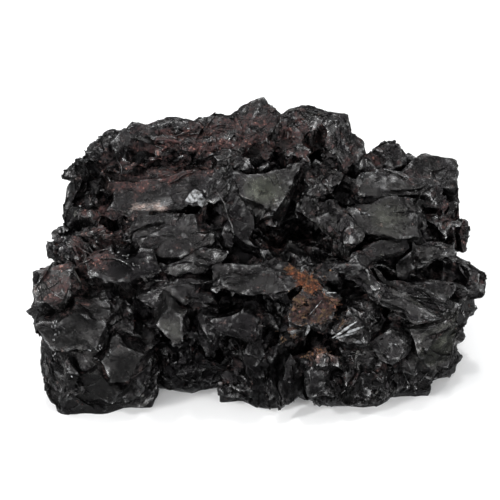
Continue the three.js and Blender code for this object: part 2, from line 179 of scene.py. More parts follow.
# Places painted darker, a darker tone and painted shade where the front is recessed low: middle, radius and
# how much.
DARK_TONE_AND_SHADE = (
    ((-7, -8, 44), 5, 0.9),
    ((-6, -11, 37), 5, 0.9),
    ((2, -13, 33), 8, 0.8),
    ((-31, -18.5, 36.5), 6, 1),
    ((-12, -26, 12), 12, 0.9),
    ((2, -28, 10), 10, 0.85),
    ((-14, -26, 22), 8, 0.9),
    ((-3, -27, 23), 8, 0.9),
    ((-22, -26, 14), 7, 0.7),
    ((-24, -24, 24), 5, 0.6),
    ((-27, 13, 54), 8, 0.8),
    ((-38, 8, 49), 7, 0.8),
    ((-14, 12, 54), 8, 0.7),
    ((30, 9, 49), 8, 0.5),
    ((-14, -25, 3), 10, 1),
    ((-2, -27, 3), 9, 0.9),
    ((9, -27, 6), 9, 0.7),
    ((46, -14, 3), 9, 0.6),
)
# Pits between the plates, cut in and painted with shade: middle, radius and how much of the full depth and
# the painted shade.
PITS = (
    ((13.5, 8.5, 54.5), 2.4, 0.7),
    ((15, 3.5, 52), 2.6, 0.9),
    ((-0.5, 9.5, 51), 2.6, 0.8),
    ((-1.5, 7.5, 48.5), 3, 0.8),
    ((-35, -5.5, 38.5), 3.2, 0.9),
    ((-31, -15.5, 38.5), 2.6, 0.6),
    ((-25.5, -23.5, 26), 2.8, 0.8),
    ((46, -2, 36), 3, 0.3),
    ((41.5, -9.5, 28.5), 2.8, 0.9),
    ((46.5, -9, 27.5), 2.8, 0.9),
    ((-11.5, -8.5, 42), 3.6, 0.9),
    ((-8, -21.5, 29.5), 2.6, 0.9),
    ((-2.5, -19.5, 27.7), 2.8, 0.9),
    ((-35, -16, 30.2), 3.4, 1),
    ((-32, -16.7, 29), 3.2, 1),
    ((-40, 1, 48), 3.2, 0.9),
    ((-39, -2.5, 44), 3, 0.7),
    ((-36.5, 9.5, 49), 3, 0.8),
    ((-29, 9.5, 51.3), 3.2, 0.8),
    ((-20.5, 9.3, 51), 3, 0.7),
    ((-10, 9.5, 51.5), 2.6, 0.7),
    ((5, 10.5, 53.6), 3, 0.7),
    ((20, -1.5, 43.7), 3.2, 0.7),
    ((14.2, -25.5, 17.8), 3.2, 1),
    ((-9.5, -24, 10.5), 5, 0.6),
    ((2, -27, 20), 3, 0.6),
    ((9, -26, 29.5), 2, 0.5),
    ((12.2, -26.5, 28.6), 1.9, 0.5),
    ((15.2, -26, 30), 1.8, 0.5),
    ((12.8, -24.6, 32), 1.7, 0.4),
    ((10.2, -27, 26.5), 2, 0.5),
)
PIT_DEPTH, PIT_RAGGED = 3.4, 2.2
# Places of wear painted with highlights: middle, radius and how much.
SHINING = (
    ((-27.5, -5.8, 42.2), 3.4, 1),
    ((-23.5, -4.6, 43.8), 2.6, 0.8),
    ((-50.5, -18, 33.5), 4, 1),
    ((-52, -20, 28), 4, 0.8),
    ((-3.6, -7, 44.4), 2.4, 0.9),
    ((-46.5, 2, 42), 3.4, 0.6),
    ((30, 1.5, 48.8), 4.5, 0.9),
    ((-31, -18.4, 37.4), 3, 0.6),
    ((-44, -28.5, 19), 4, 0.5),
    ((-26, 13.5, 55.5), 4, 0.6),
    ((24, 7, 53), 4, 0.5),
    ((42, 3, 46), 3.5, 0.6),
)
# Places with a pale pinkish bloom: middle, radius and how thick it is.
BLOOM = (
    ((-27.5, -5.8, 42.2), 3.2, 1),
    ((-24.6, -4.9, 43.4), 2.6, 0.9),
    ((-30.5, -6.6, 41), 2.4, 0.7),
    ((-49.5, -21, 29.5), 3.4, 0.55),
    ((14, -28.4, 17.2), 2.6, 0.7),
)
# Places where the surface stays nearly plain: middle, radius and how plain.
CALM = (
    ((1.6, -5.5, 48.5), 7.5, 1),
    ((28.6, -9, 42.5), 8, 1),
    ((40.6, -23.2, 17), 9, 1),
    ((-19.9, -29.5, 26.5), 6, 1),
    ((-29, -2.3, 44.5), 8, 1),
    ((-18, -1, 46), 9, 0.9),
    ((-42, -28, 24.5), 11, 0.95),
    ((-31.4, -30, 17.5), 9, 0.9),
    ((-40.6, -28.5, 8.3), 11, 0.9),
    ((-49, -20, 14), 10, 0.7),
    ((-31.5, -18.5, 36.8), 6, 1),
    ((-13.4, -9, 42), 5, 0.8),
    ((-5.4, -8.5, 43), 7, 0.9),
    ((-6, -11, 36), 5, 0.9),
    ((-20.4, -12.5, 39.3), 9, 0.7),
    ((0.6, -23.5, 35.5), 9, 0.6),
    ((-47.6, -21, 32.5), 6, 0.6),
    ((30.6, -0.5, 47.2), 8, 0.8),
    ((-4.4, -28.5, 26.5), 7, 0.7),
    ((28.6, -26.5, 19), 6, 0.6),
    ((-30.4, 11.5, 52.5), 6, 0.6),
    ((0.9, 15.5, 56.5), 7, 0.5),
    ((12.6, 13, 57), 8, 0.4),
    ((40.6, 6.5, 46.8), 8, 0.5),
)
# Hollow places that still catch some light: middle, radius and how much of the gloom goes.
OPEN_PLACES = (
    ((-30, -7, 40), 6, 0.6),
    ((-23, -5, 42), 5, 0.6),
    ((-37, -10, 39), 5, 0.4),
    ((12, -26, 27), 6, 0.4),
)
# Where the grain of the plates is known: middle, radius and direction.
KNOWN_WAYS = (
    ((-18, -20, 34), 14, (1, -0.1, 0.12)),
    ((34, -16, 31), 16, (1, -0.1, -0.18)),
    ((-18, 12, 52), 14, (1, 0.1, 0.05)),
    ((-42, 0, 43), 9, (0.2, 0.3, 1)),
    ((10, -26, 9), 14, (-0.1, 0.2, 1)),
    ((-43, -27, 10), 12, (0.9, 0, -0.5)),
    ((20, -27, 24), 6, (1, 0.2, 0.75)),
    ((42, -2, 41), 7, (0.1, -0.4, 1)),
)


def rng_for(name):
    """A seeded stream of its own for each piece, so that a change to one leaves the others alone."""
    return np.random.default_rng([SEED, *name.encode()])


def unit(vectors):
    vectors = np.asarray(vectors, float)
    return vectors / np.maximum(np.linalg.norm(vectors, axis=-1, keepdims=True), 1e-12)


def dot(a, b):
    return (a * b).sum(axis=-1, keepdims=True)


def flattened(ways, normals):
    """The ways without their part along the normals."""
    return ways - dot(ways, normals) * normals


def between(low, high, share):
    return low + (high - low) * share


def distance(points, middle):
    return np.linalg.norm(points - np.array(middle), axis=1)


def hashed(cells, salt):
    """Three numbers from 0 to 1 for each whole-number cell."""
    c = cells.astype(np.int64)
    h = (c[..., 0] * 73856093) ^ (c[..., 1] * 19349663) ^ (c[..., 2] * 83492791) ^ (salt * 2654435761)
    parts = []
    for step in (1, 2, 3):
        h = (h ^ (h >> 13)) * 1274126177 & 0x7FFFFFFF
        parts.append(((h >> 7) & 0xFFFF) / 65535.0)
        h = h + step * 668265263
    return np.stack(parts, axis=-1)


def nearest_cell(points, size, salt):
    """The jittered cell each point lies in: its name, the way from its middle and the way to its edge."""
    scaled = points / size
    base = np.floor(scaled).astype(np.int64)
    best = np.full(len(points), np.inf)
    second = best.copy()
    name = np.zeros_like(base)
    away = np.zeros_like(points)
    for step in product((-1, 0, 1), repeat=3):
        cell = base + step
        offset = scaled - (cell + hashed(cell, salt))
        far = np.sqrt((offset**2).sum(axis=1))
        closer = far < best
        second = np.where(closer, best, np.minimum(second, far))
        best[closer] = far[closer]
        name[closer] = cell[closer]
        away[closer] = offset[closer]
    return name, away * size, (second - best) * size


def value_noise(points, size, salt):
    """Smooth noise from -1 to 1."""
    scaled = points / size
    base = np.floor(scaled)
    part = scaled - base
    part = part * part * (3 - 2 * part)
    total = np.zeros(len(points))
    for step in product((0, 1), repeat=3):
        corner = hashed(base + step, salt)[:, 0]
        total += corner * np.abs(1 - np.array(step) - part).prod(axis=1)
    return 2 * total - 1


def blobs(points, places):
    """How much each point belongs to the given round places, from 0 to 1."""
    total = np.zeros(len(points))
    for middle, radius, strength in places:
        far = distance(points, middle) / radius
        total = np.maximum(total, strength * np.clip(1.25 - far, 0, 1) ** 0.7)
    return np.clip(total, 0, 1)


def grain_at(points):
    """The way the plates run at each point: one way in each patch, and a known way where one is given."""
    patch, _, _ = nearest_cell(points, WAY_PATCH, 70)
    way = unit(hashed(patch, 71) - 0.5)
    for middle, radius, known in KNOWN_WAYS:
        way[distance(points, middle) < radius * (0.8 + 0.4 * hashed(patch, 72)[:, 0])] = unit(known)
    return way


# ---- the solid, refined


def solid_triangles():
    """The CAD node's corners and triangles, its doubled corners joined."""
    mesh = bmesh.new()
    mesh.from_mesh(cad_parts[LUMP].data)
    bmesh.ops.remove_doubles(mesh, verts=mesh.verts, dist=1e-7)
    bmesh.ops.triangulate(mesh, faces=mesh.faces)
    corners = np.array([v.co for v in mesh.verts]) / MM
    triangles = np.array([[v.index for v in f.verts] for f in mesh.faces])
    mesh.free()
    return corners, triangles


def triangle_normals(corners, triangles):
    a, b, c = (corners[triangles[:, k]] for k in range(3))
    cross = np.cross(b - a, c - a)
    return unit(cross), np.linalg.norm(cross, axis=1) / 2


def shared_edges(triangles):
    """Each edge that two triangles share: their numbers and the edge's two corners."""
    owner = {}
    for i, (a, b, c) in enumerate(triangles):
        for edge in ((a, b), (b, c), (c, a)):
            other = owner.setdefault((min(edge), max(edge)), i)
            if other != i:
                yield i, other, edge


def facet_names(corners, triangles):
    """A number for each triangle that neighbours in the same plane share."""
    normals, _ = triangle_normals(corners, triangles)
    parent = list(range(len(triangles)))

    def root(i):
        while parent[i] != i:
            parent[i] = parent[parent[i]]
            i = parent[i]
        return i

    for i, other, _ in shared_edges(triangles):
        if normals[i] @ normals[other] > SAME_PLANE:
            parent[root(i)] = root(other)
    return np.array([root(i) for i in range(len(triangles))])


def search_tree(points):
    tree = KDTree(len(points))
    for i, point in enumerate(points):
        tree.insert(point, i)
    tree.balance()
    return tree


def rims(corners, triangles):
    """A search tree of points along the sharp outward edges of the solid."""
    normals, _ = triangle_normals(corners, triangles)
    middle = corners[triangles].mean(axis=1)
    points = []
    for i, other, edge in shared_edges(triangles):
        outward = (middle[i] - middle[other]) @ normals[other] < 0
        if outward and normals[i] @ normals[other] < math.cos(RIM_ANGLE):
            start, end = corners[list(edge)]
            steps = np.arange(0, np.linalg.norm(end - start), RIM_STRIDE)
            points.append(start + steps[:, None] * unit(end - start))
    return search_tree(np.concatenate(points))


def refine(corners, triangles, facet, carried, limit):
    """Splits every edge that is longer than the limit at its middle, with no gap between neighbours."""
    while True:
        ends = np.sort(triangles[:, [0, 1, 1, 2, 2, 0]].reshape(-1, 2), axis=1)
        edges, which = np.unique(ends, axis=0, return_inverse=True)
        a, b = corners[edges[:, 0]], corners[edges[:, 1]]
        split = np.linalg.norm(a - b, axis=1) > limit((a + b) / 2)
        if not split.any():
            return corners, triangles, facet, carried
        middle = np.full(len(edges), -1)
        middle[split] = len(corners) + np.arange(split.sum())
        corners = np.vstack([corners, corners[edges[split]].mean(axis=1)])
        carried = np.vstack([carried, carried[edges[split]].mean(axis=1)])
        mids = middle[which.reshape(-1, 3)]
        marked = mids >= 0
        count = marked.sum(axis=1)
        # Each triangle is turned so that its marked edges come first.
        first = np.where(count == 1, marked.argmax(axis=1), 0)
        first = np.where(count == 2, (marked.argmin(axis=1) + 1) % 3, first)
        turn = (first[:, None] + np.arange(3)) % 3
        a, b, c = np.take_along_axis(triangles, turn, axis=1).T
        ab, bc, ca = np.take_along_axis(mids, turn, axis=1).T
        # How a triangle with none, one, two or three marked edges is cut.
        cuts = (
            ((a, b, c),),
            ((a, ab, c), (ab, b, c)),
            ((ab, b, bc), (a, ab, bc), (a, bc, c)),
            ((a, ab, ca), (ab, b, bc), (ca, bc, c), (ab, bc, ca)),
        )
        parts = [(count == marks, part) for marks, shapes in enumerate(cuts) for part in shapes]
        triangles = np.vstack([np.stack([corner[here] for corner in part], axis=1) for here, part in parts])
        facet = np.concatenate([facet[here] for here, _ in parts])


def edge_limit(points):
    """The longest edge allowed at each point."""
    behind = np.clip((points[:, 1] - (-8 + 0.55 * points[:, 2])) / 12, 0, 1)
    return np.where(points[:, 2] < FLOOR_NEAR, UNDER_EDGE, between(FINE_EDGE, BACK_EDGE, behind))


def gathered(count, triangles, values):
    """The sum of the triangles' values at each corner."""
    total = np.zeros((count, *values.shape[1:]))
    for k in range(3):
        np.add.at(total, triangles[:, k], values)
    return total


def to_corners(count, triangles, values):
    """The mean of the triangles' values at each corner."""
    uses = np.bincount(triangles.ravel(), minlength=count)
    return gathered(count, triangles, values) / np.maximum(uses, 1)


def corner_normals(corners, triangles):
    normals, area = triangle_normals(corners, triangles)
    return unit(gathered(len(corners), triangles, normals * area[:, None]))


def convexity(corners, triangles, normals):
    """How far each corner stands out of its neighbours, as a share of the way to them."""
    total = np.zeros(len(corners))
    reach = np.zeros(len(corners))
    for k in range(3):
        here, after = triangles[:, k], triangles[:, (k + 1) % 3]
        for one, other in ((here, after), (after, here)):
            step = corners[one] - corners[other]
            np.add.at(total, one, (step * normals[one]).sum(axis=1))
            np.add.at(reach, one, np.linalg.norm(step, axis=1))
    return total / np.maximum(reach, 1e-9)


def closed_in(corners, triangles):
    """How closed in each corner is: 0 on an open face and 1 in a deep hollow."""
    tree = BVHTree.FromPolygons(corners.tolist(), triangles.tolist())
    raw = unit(rng_for("rays").normal(size=(OPEN_RAYS, 3)))
    closed = np.zeros(len(corners))
    for i, (corner, normal) in enumerate(zip(corners, corner_normals(corners, triangles))):
        start = Vector(corner + normal * OPEN_START)
        total = 0.0
        for way in unit(raw + normal * 1.02):
            far = tree.ray_cast(start, Vector(way), OPEN_REACH)[3]
            if far is not None:
                total += 1 - 0.6 * far / OPEN_REACH
        closed[i] = total / OPEN_RAYS
    return np.clip((closed - 0.12) / 0.6, 0, 1)


# ---- the solid's surface, broken up


def bent(corners):
    """The corners shifted smoothly; what rests on the floor stays there."""
    shift = np.zeros_like(corners)
    for salt, (size, reach) in enumerate(BENDS):
        for axis in range(3):
            shift[:, axis] += reach * value_noise(corners, size, 110 + 3 * salt + axis)
    shift *= 1 - blobs(corners, UNBENT)[:, None]
    shift[:, 2] *= np.clip(corners[:, 2] / BENDS[0][1], 0, 1)
    for middle, radius, drawn in DRAWN_BACK:
        shift += np.clip(1 - distance(corners, middle) / radius, 0, 1)[:, None] * drawn
    return corners + shift


def drawn_out(corners, way, drawn):
    """The corners squeezed along the grain, so that what is laid over them comes out longer that way."""
    return corners - (1 - 1 / drawn) * dot(corners, way) * way


def add_cells(corners, way, height, crest, tone):
    """Tilted cells with raised edges, each with a tone of its own."""
    for salt, (size, drawn, tilt, edge, seen) in enumerate(CELLS):
        cell, away, rim = nearest_cell(drawn_out(corners, way, drawn), size, salt)
        lean = 2 * hashed(cell, salt + 40) - 1
        height += tilt * np.clip((away * lean).sum(axis=1) / size * 1.8, -1, 1) + 0.35 * tilt * lean[:, 0]
        wall = np.exp(-rim / (0.10 * size)) * (hashed(cell, salt + 50)[:, 0] > 0.35)
        height += edge * wall
        np.maximum(crest, wall * edge / CELLS[0][3], out=crest)
        tone += seen * hashed(cell, salt + 60)[:, 1]


def cut_pockets(corners, way, height):
    """Open pockets between the plates."""
    for salt, (size, drawn, depth, share) in enumerate(POCKETS):
        cell, _, rim = nearest_cell(drawn_out(corners, way, drawn), size, salt + 20)
        draw = hashed(cell, salt + 80)
        inner = np.clip((rim - 0.07 * size) / (0.22 * size), 0, 1)
        height -= depth * (0.4 + 0.6 * draw[:, 1]) * inner * (draw[:, 0] < share)


def add_folds(corners, way, height, crest, closed):
    """Curved folds with thin crests, in patches, and lower in the hollows."""
    folded = np.clip(0.7 + 1.6 * value_noise(corners, FOLD_PATCH, 89), 0, 1) * (1 - 0.7 * closed)
    for salt, (size, drawn, tall, thin, shining) in enumerate(FOLDS):
        noise = value_noise(drawn_out(corners, way, drawn), size, salt + 95)
        fold = np.clip(1 - thin * np.abs(noise), 0, 1) ** 1.3
        height += tall * folded * (fold - 0.25)
        np.maximum(crest, folded * np.clip(1.6 * fold - 0.7, 0, 1) * shining, out=crest)


def broken(corners, normals, calm, closed, rim_far):
    """The surface broken into plates: moved corners, height, crest and tone, and the grain's way."""
    way = grain_at(corners)
    height = WAVE * value_noise(corners, WAVE_SIZE, 88)
    crest = np.zeros(len(corners))
    tone = np.zeros(len(corners))
    add_cells(corners, way, height, crest, tone)
    cut_pockets(corners, way, height)
    add_folds(corners, way, height, crest, closed)
    height += ROUGH * value_noise(corners, ROUGH_SIZE, 90)
    height *= 1 - CALMED * calm
    height *= 1 - RIM_STEADIED * np.exp(-((rim_far / RIM_STEADY) ** 2))
    pit = blobs(corners + value_noise(corners, PIT_RAGGED, 93)[:, None], PITS)
    height -= PIT_DEPTH * pit
    # Rims get stretches of wear with painted highlights.
    wear_and_highlight = np.clip(0.1 + 2 * value_noise(corners, RIM_PATCH, 92), 0, 1)
    crest = np.maximum(crest * (1 - 0.7 * calm), wear_and_highlight * np.exp(-((rim_far / RIM_WEAR_AND_HIGHLIGHT) ** 2)))
    height *= np.clip(corners[:, 2] / FLOOR_CALM, 0.1, 1)
    moved = corners + normals * height[:, None]
    # What rests stays in its plane.
    floor = corners[:, 2] < FLOOR_NEAR
    moved[floor, 2] = corners[floor, 2]
    moved[:, 2] = np.maximum(moved[:, 2], 0)
    return moved, height, crest * (1 - pit), tone * (1 - pit), way


def put_in_scene(name, data):
    holder = bpy.data.objects.new(name, data)
    bpy.context.scene.collection.objects.link(holder)
    return holder


def thinned(corners, triangles, wanted):
    """The same surface with fewer triangles, and the nearest old corner of each new one."""
    mesh = bpy.data.meshes.new("full")
    mesh.from_pydata(corners.tolist(), [], triangles.tolist())
    holder = put_in_scene("full", mesh)
    modifier = holder.modifiers.new("thin", "DECIMATE")
    modifier.ratio = wanted / len(triangles)
    modifier.use_collapse_triangulate = True
    thin = bpy.data.meshes.new_from_object(holder.evaluated_get(bpy.context.evaluated_depsgraph_get()))
    new_corners = np.array([v.co for v in thin.vertices])
    new_triangles = np.array([list(p.vertices) for p in thin.polygons])
    bpy.data.objects.remove(holder)
    for used in (mesh, thin):
        bpy.data.meshes.remove(used)
    old = search_tree(corners)
    return new_corners, new_triangles, np.array([old.find(corner)[1] for corner in new_corners])


def add_attributes(mesh, domain, fields):
    """Numbers or vectors on the mesh, by name."""
    for name, values in fields.items():
        values = np.asarray(values, np.float32)
        kind, socket = ("FLOAT_VECTOR", "vector") if values.ndim == 2 else ("FLOAT", "value")
        mesh.attributes.new(name, kind, domain).data.foreach_set(socket, values.ravel())


def new_piece(name, corners, faces, material, smooth=False):
    """A mesh object from corners in millimetres, riding on the lump."""
    mesh = bpy.data.meshes.new(name)
    corners = np.clip(corners, BOX_LOW, BOX_HIGH)
    mesh.from_pydata((corners * MM).tolist(), [], [list(face) for face in faces])
    mesh.validate()
    mesh.polygons.foreach_set("use_smooth", np.full(len(mesh.polygons), smooth))
    mesh.update()
    piece = put_in_scene(name, mesh)
    mesh.materials.append(material)
    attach(piece, BODY)
    return piece


def grown_piece(name, corners, faces, material, per_item, **fields):
    """A piece of many items: a field has one value for each item, and an item has per_item faces."""
    piece = new_piece(name, corners, faces, material)
    repeated = {label: np.repeat(values, per_item, axis=0) for label, values in fields.items()}
    add_attributes(piece.data, "FACE", repeated)


# ---- materials


class Nodes:
    """A short way to write a node tree."""

    def __init__(self, name):
        self.material = bpy.data.materials.new(name)
        self.material.use_nodes = True
        self.tree = self.material.node_tree

    def add(self, kind, inputs, **settings):
        """A node with its inputs, each a socket or a plain value."""
        node = self.tree.nodes.new(kind)
        for key, value in settings.items():
            setattr(node, key, value)
        for key, value in inputs.items():
            self.put(node.inputs[key], value)
        return node

    def put(self, socket, value):
        if isinstance(value, bpy.types.NodeSocket):
            self.tree.links.new(value, socket)
        elif isinstance(value, tuple) and len(value) == 3 and len(socket.default_value) == 4:
            socket.default_value = (*value, 1.0)
        else:
            socket.default_value = value

    def set(self, **inputs):
        for key, value in inputs.items():
            self.put(self.tree.nodes["Principled BSDF"].inputs[key.replace("_", " ")], value)

    def place(self):
        return self.add("ShaderNodeTexCoord", {}).outputs["Object"]

    def attribute(self, name, output="Fac"):
        return self.add("ShaderNodeAttribute", {}, attribute_name=name).outputs[output]

    def math(self, operation, a, b):
        return self.add("ShaderNodeMath", {0: a, 1: b}, operation=operation).outputs[0]

    def times(self, a, b):
        return self.math("MULTIPLY", a, b)

    def less(self, a, b):
        """a with the share b of it taken away."""
        return self.times(a, self.math("SUBTRACT", 1.0, b))

    def centred(self, value, reach):
        """0 where the value is a half, and the reach times as wide."""
        return self.times(self.math("SUBTRACT", value, 0.5), reach)

    def along(self, place, way):
        """How far along the way each place is."""
        node = self.add("ShaderNodeVectorMath", {0: place, 1: way}, operation="DOT_PRODUCT")
        return node.outputs["Value"]

    def noise(self, vector, scale, detail=3.0, rough=0.55, line=False):
        inputs = {"W" if line else "Vector": vector, "Scale": scale, "Detail": detail, "Roughness": rough}
        return self.add("ShaderNodeTexNoise", inputs, noise_dimensions="1D" if line else "3D").outputs[0]

    def cells(self, vector, scale):
        """Three numbers for each small cell."""
        colour = self.add("ShaderNodeTexVoronoi", {"Vector": vector, "Scale": scale}).outputs["Color"]
        return self.add("ShaderNodeSeparateColor", {"Color": colour}).outputs

    def ramp(self, value, low, high):
        """0 up to low, 1 from high on, straight between them."""
        inputs = {"Value": value, "From Min": low, "From Max": high}
        return self.add("ShaderNodeMapRange", inputs, clamp=True).outputs[0]

    def mix(self, share, a, b):
        """From colour a to colour b."""
        return self.add("ShaderNodeMix", {0: share, 6: a, 7: b}, data_type="RGBA").outputs[2]

    def blend(self, share, a, b):
        """From number a to number b."""
        return self.add("ShaderNodeMix", {0: share, 2: a, 3: b}, data_type="FLOAT").outputs[0]

    def bump(self, height, distance, strength, **below):
        inputs = {"Height": height, "Distance": distance, "Strength": strength, **below}
        return self.add("ShaderNodeBump", inputs).outputs["Normal"]


# Colours, as linear light.
BLACK_METAL = (0.013, 0.012, 0.013)
# Painted shade: the metal's colour deep in the hollows, nearly black.
HOLLOW_SHADE_METAL = (0.0026, 0.0024, 0.0026)
GREY_METAL = (0.036, 0.035, 0.034)
GREEN_GREY = (0.066, 0.069, 0.056)
# Bright metal for wear on the crests, partly painted highlights and painted glints.
BRIGHT_METAL = (0.34, 0.34, 0.34)
# Painted shade on the dust deep in the hollows.
HOLLOW_SHADE_DUST = (0.006, 0.003, 0.003)
DARK_DUST = (0.017, 0.0065, 0.006)
RED_DUST = (0.070, 0.020, 0.018)
PINK_DUST = (0.21, 0.105, 0.085)
BROWN_BLOOM = (0.13, 0.085, 0.07)
PALE_BLOOM = (0.46, 0.37, 0.33)
ORANGE_RUST = (0.34, 0.098, 0.036)
YELLOW_RUST = (0.24, 0.125, 0.045)
OLIVE_RUST = (0.135, 0.092, 0.045)
PINK_RUST = (0.19, 0.10, 0.085)
DARK_RUST = (0.030, 0.014, 0.009)
SILVER = (0.46, 0.47, 0.48)
TARNISH = (0.05, 0.048, 0.045)
WORLD_COLOUR = (0.96, 0.98, 1.0)
FLOOR_COLOUR = (0.93, 0.93, 0.93)


def bare_metal(n, place, wear_and_highlight, patches, lines, small, tiny):
    """Clean hematite: grey by tone, black in blotches, bright where worn with painted highlights and
    glints, painted shade in hollows.
    """
    tone = n.attribute("tone")
    colour = n.mix(n.ramp(tone, 0.0, 0.6), BLACK_METAL, GREY_METAL)
    colour = n.mix(n.ramp(tone, 0.6, 1.0), colour, GREEN_GREY)
    # Painted glints: tiny specks of bright metal where the sparkle noise is high.
    sparkling = n.ramp(n.noise(place, 120.0), 0.52, 0.70)
    glint = n.times(n.math("GREATER_THAN", tiny[1], 0.94), sparkling)
    layers = (
        (n.ramp(patches, 0.45, 0.7), 0.6, BLACK_METAL),
        (n.ramp(lines, 0.5, 0.8), 0.4, BLACK_METAL),
        (n.ramp(small[0], 0.5, 1.0), 0.65, BLACK_METAL),
        (wear_and_highlight, 0.65, BRIGHT_METAL),
        (glint, 0.38, BRIGHT_METAL),
    )
    for mask, share, over in layers:
        colour = n.mix(n.times(mask, share), colour, over)
    # Painted shade: the colour is painted nearly black where the corner is closed in.
    return n.mix(n.ramp(n.attribute("closed"), 0.9, 0.3), HOLLOW_SHADE_METAL, colour)


def dust_colour(n, place, tiny):
    """Red-brown dust with a few pink grains, with painted shade that makes it nearly black deep in the
    hollows.
    """
    patches = n.noise(place, 1100.0, detail=5.0, rough=0.8)
    colour = n.mix(n.ramp(patches, 0.46, 0.64), DARK_DUST, RED_DUST)
    colour = n.mix(n.ramp(tiny[0], 0.90, 0.98), colour, PINK_DUST)
    # Painted shade: the dust is painted nearly black where the corner is closed in.
    return n.mix(n.ramp(n.attribute("closed"), 1.0, 0.45), HOLLOW_SHADE_DUST, colour)


def metal_material():
    """Near-black metallic hematite: fine lines along each plate, painted glints and highlights, painted
    shade in the hollows, and dust where it has settled.
    """
    n = Nodes("hematite_metal")
    place = n.place()
    across = n.attribute("across", "Vector")
    lines = n.noise(n.along(place, across), 1500.0, detail=4.0, rough=0.7, line=True)
    patches = n.noise(place, 230.0, detail=5.0, rough=0.6)
    small = n.cells(place, 1300.0)
    tiny = n.cells(place, 2600.0)
    # Crests, partly real wear and partly painted highlight.
    wear_and_highlight = n.times(n.ramp(n.attribute("crest"), 0.25, 0.9), n.ramp(n.noise(place, 420.0), 0.42, 0.62))
    colour = bare_metal(n, place, wear_and_highlight, patches, lines, small, tiny)

    spread = n.centred(n.noise(place, 330.0, detail=7.0, rough=0.7), 2.3)
    dusty = n.ramp(n.math("ADD", n.attribute("dust"), spread), 0.28, 0.62)
    dusty = n.less(dusty, n.times(wear_and_highlight, 0.8))
    dusty = n.less(dusty, n.times(n.math("GREATER_THAN", tiny[2], 0.66), 0.75))
    colour = n.mix(dusty, colour, dust_colour(n, place, tiny))
    bloom = n.times(n.ramp(n.math("ADD", n.attribute("bloom"), spread), 0.35, 0.85), 0.9)
    colour = n.mix(bloom, colour, n.mix(n.ramp(tiny[0], 0.3, 0.8), BROWN_BLOOM, PALE_BLOOM))

    matt = n.math("MAXIMUM", dusty, bloom)
    lustre = n.math("ADD", n.blend(n.ramp(patches, 0.35, 0.7), 0.14, 0.34), n.centred(small[2], 0.14))
    metallic = n.math("SUBTRACT", 0.95, n.times(matt, 0.85))
    lined = n.bump(lines, 0.00012, 0.5)
    stepped = n.bump(small[1], 0.00012, 0.6, Normal=lined)
    pitted = n.bump(n.noise(place, 1700.0, detail=5.0, rough=0.7), 0.00018, 0.75, Normal=stepped)
    n.set(Base_Color=colour, Metallic=metallic, Roughness=n.blend(matt, lustre, 0.80), Normal=pitted)
    return n.material


def flake_material():
    """A clean crystal face that mirrors the light."""
    n = Nodes("clean_flake")
    wear_and_highlight = n.noise(n.place(), 1400.0)
    n.set(
        Base_Color=n.mix(n.ramp(wear_and_highlight, 0.40, 0.62), SILVER, TARNISH),
        Roughness=n.blend(wear_and_highlight, 0.30, 0.60),
        Metallic=1.0,
        Normal=n.bump(wear_and_highlight, 0.00012, 0.5),
    )
    return n.material


def crust_material():
    """Powdery rust: orange where it is fresh, brown and olive elsewhere."""
    n = Nodes("rust_crust")
    place = n.place()
    shade = n.noise(place, 900.0, detail=5.0, rough=0.7)
    spots = n.cells(place, 1500.0)
    old = n.mix(n.ramp(spots[0], 0.6, 0.9), OLIVE_RUST, PINK_RUST)
    new = n.mix(n.ramp(n.noise(place, 500.0), 0.45, 0.65), ORANGE_RUST, YELLOW_RUST)
    colour = n.mix(n.attribute("fresh"), old, new)
    colour = n.mix(n.times(n.ramp(spots[1], 0.45, 0.8), 0.85), colour, DARK_RUST)
    colour = n.mix(n.ramp(shade, 0.40, 0.62), DARK_RUST, colour)
    n.set(Base_Color=colour, Roughness=n.blend(shade, 0.72, 0.95), Normal=n.bump(shade, 0.00025, 0.7))
    return n.material


# ---- what grows out of the surface


class Surface:
    """The finished lump surface, to place things on."""

    def __init__(self, corners, triangles, **fields):
        self.corners, self.triangles, self.fields = corners, triangles, fields
        _, self.area = triangle_normals(corners, triangles)
        self.smooth = corner_normals(corners, triangles)
        self.middle = corners[triangles].mean(axis=1)
        self.behind = self.middle[:, 1] > 8 + 0.2 * self.middle[:, 2]
        self.tree = BVHTree.FromPolygons(corners.tolist(), triangles.tolist())

    def scatter(self, generator, weight, count):
        """Random places, thicker where the weight is larger: triangle numbers, points and ways outward."""
        share = self.area * np.maximum(weight, 0)
        chosen = generator.choice(len(self.triangles), size=count, p=share / share.sum())
        a, b = generator.random((2, count))
        flip = a + b > 1
        a[flip], b[flip] = 1 - a[flip], 1 - b[flip]
        here = self.triangles[chosen]
        first, second, third = (self.corners[here[:, k]] for k in range(3))
        points = first + a[:, None] * (second - first) + b[:, None] * (third - first)
        return chosen, points, unit(self.smooth[here].mean(axis=1))

    def at(self, field, chosen=slice(None)):
        """A field's mean over each chosen triangle."""
        return self.fields[field][self.triangles[chosen]].mean(axis=1)

    def nearest(self, point):
        place, normal, _, _ = self.tree.find_nearest(Vector(point))
        return np.array(place), np.array(normal)


# Patches in which the plates have one tilt, and how far a plate's middle and its corners may stand out.
PLATE_PATCH = 9.0
PLATE_RISE, PLATE_REACH = 0.2, 0.6


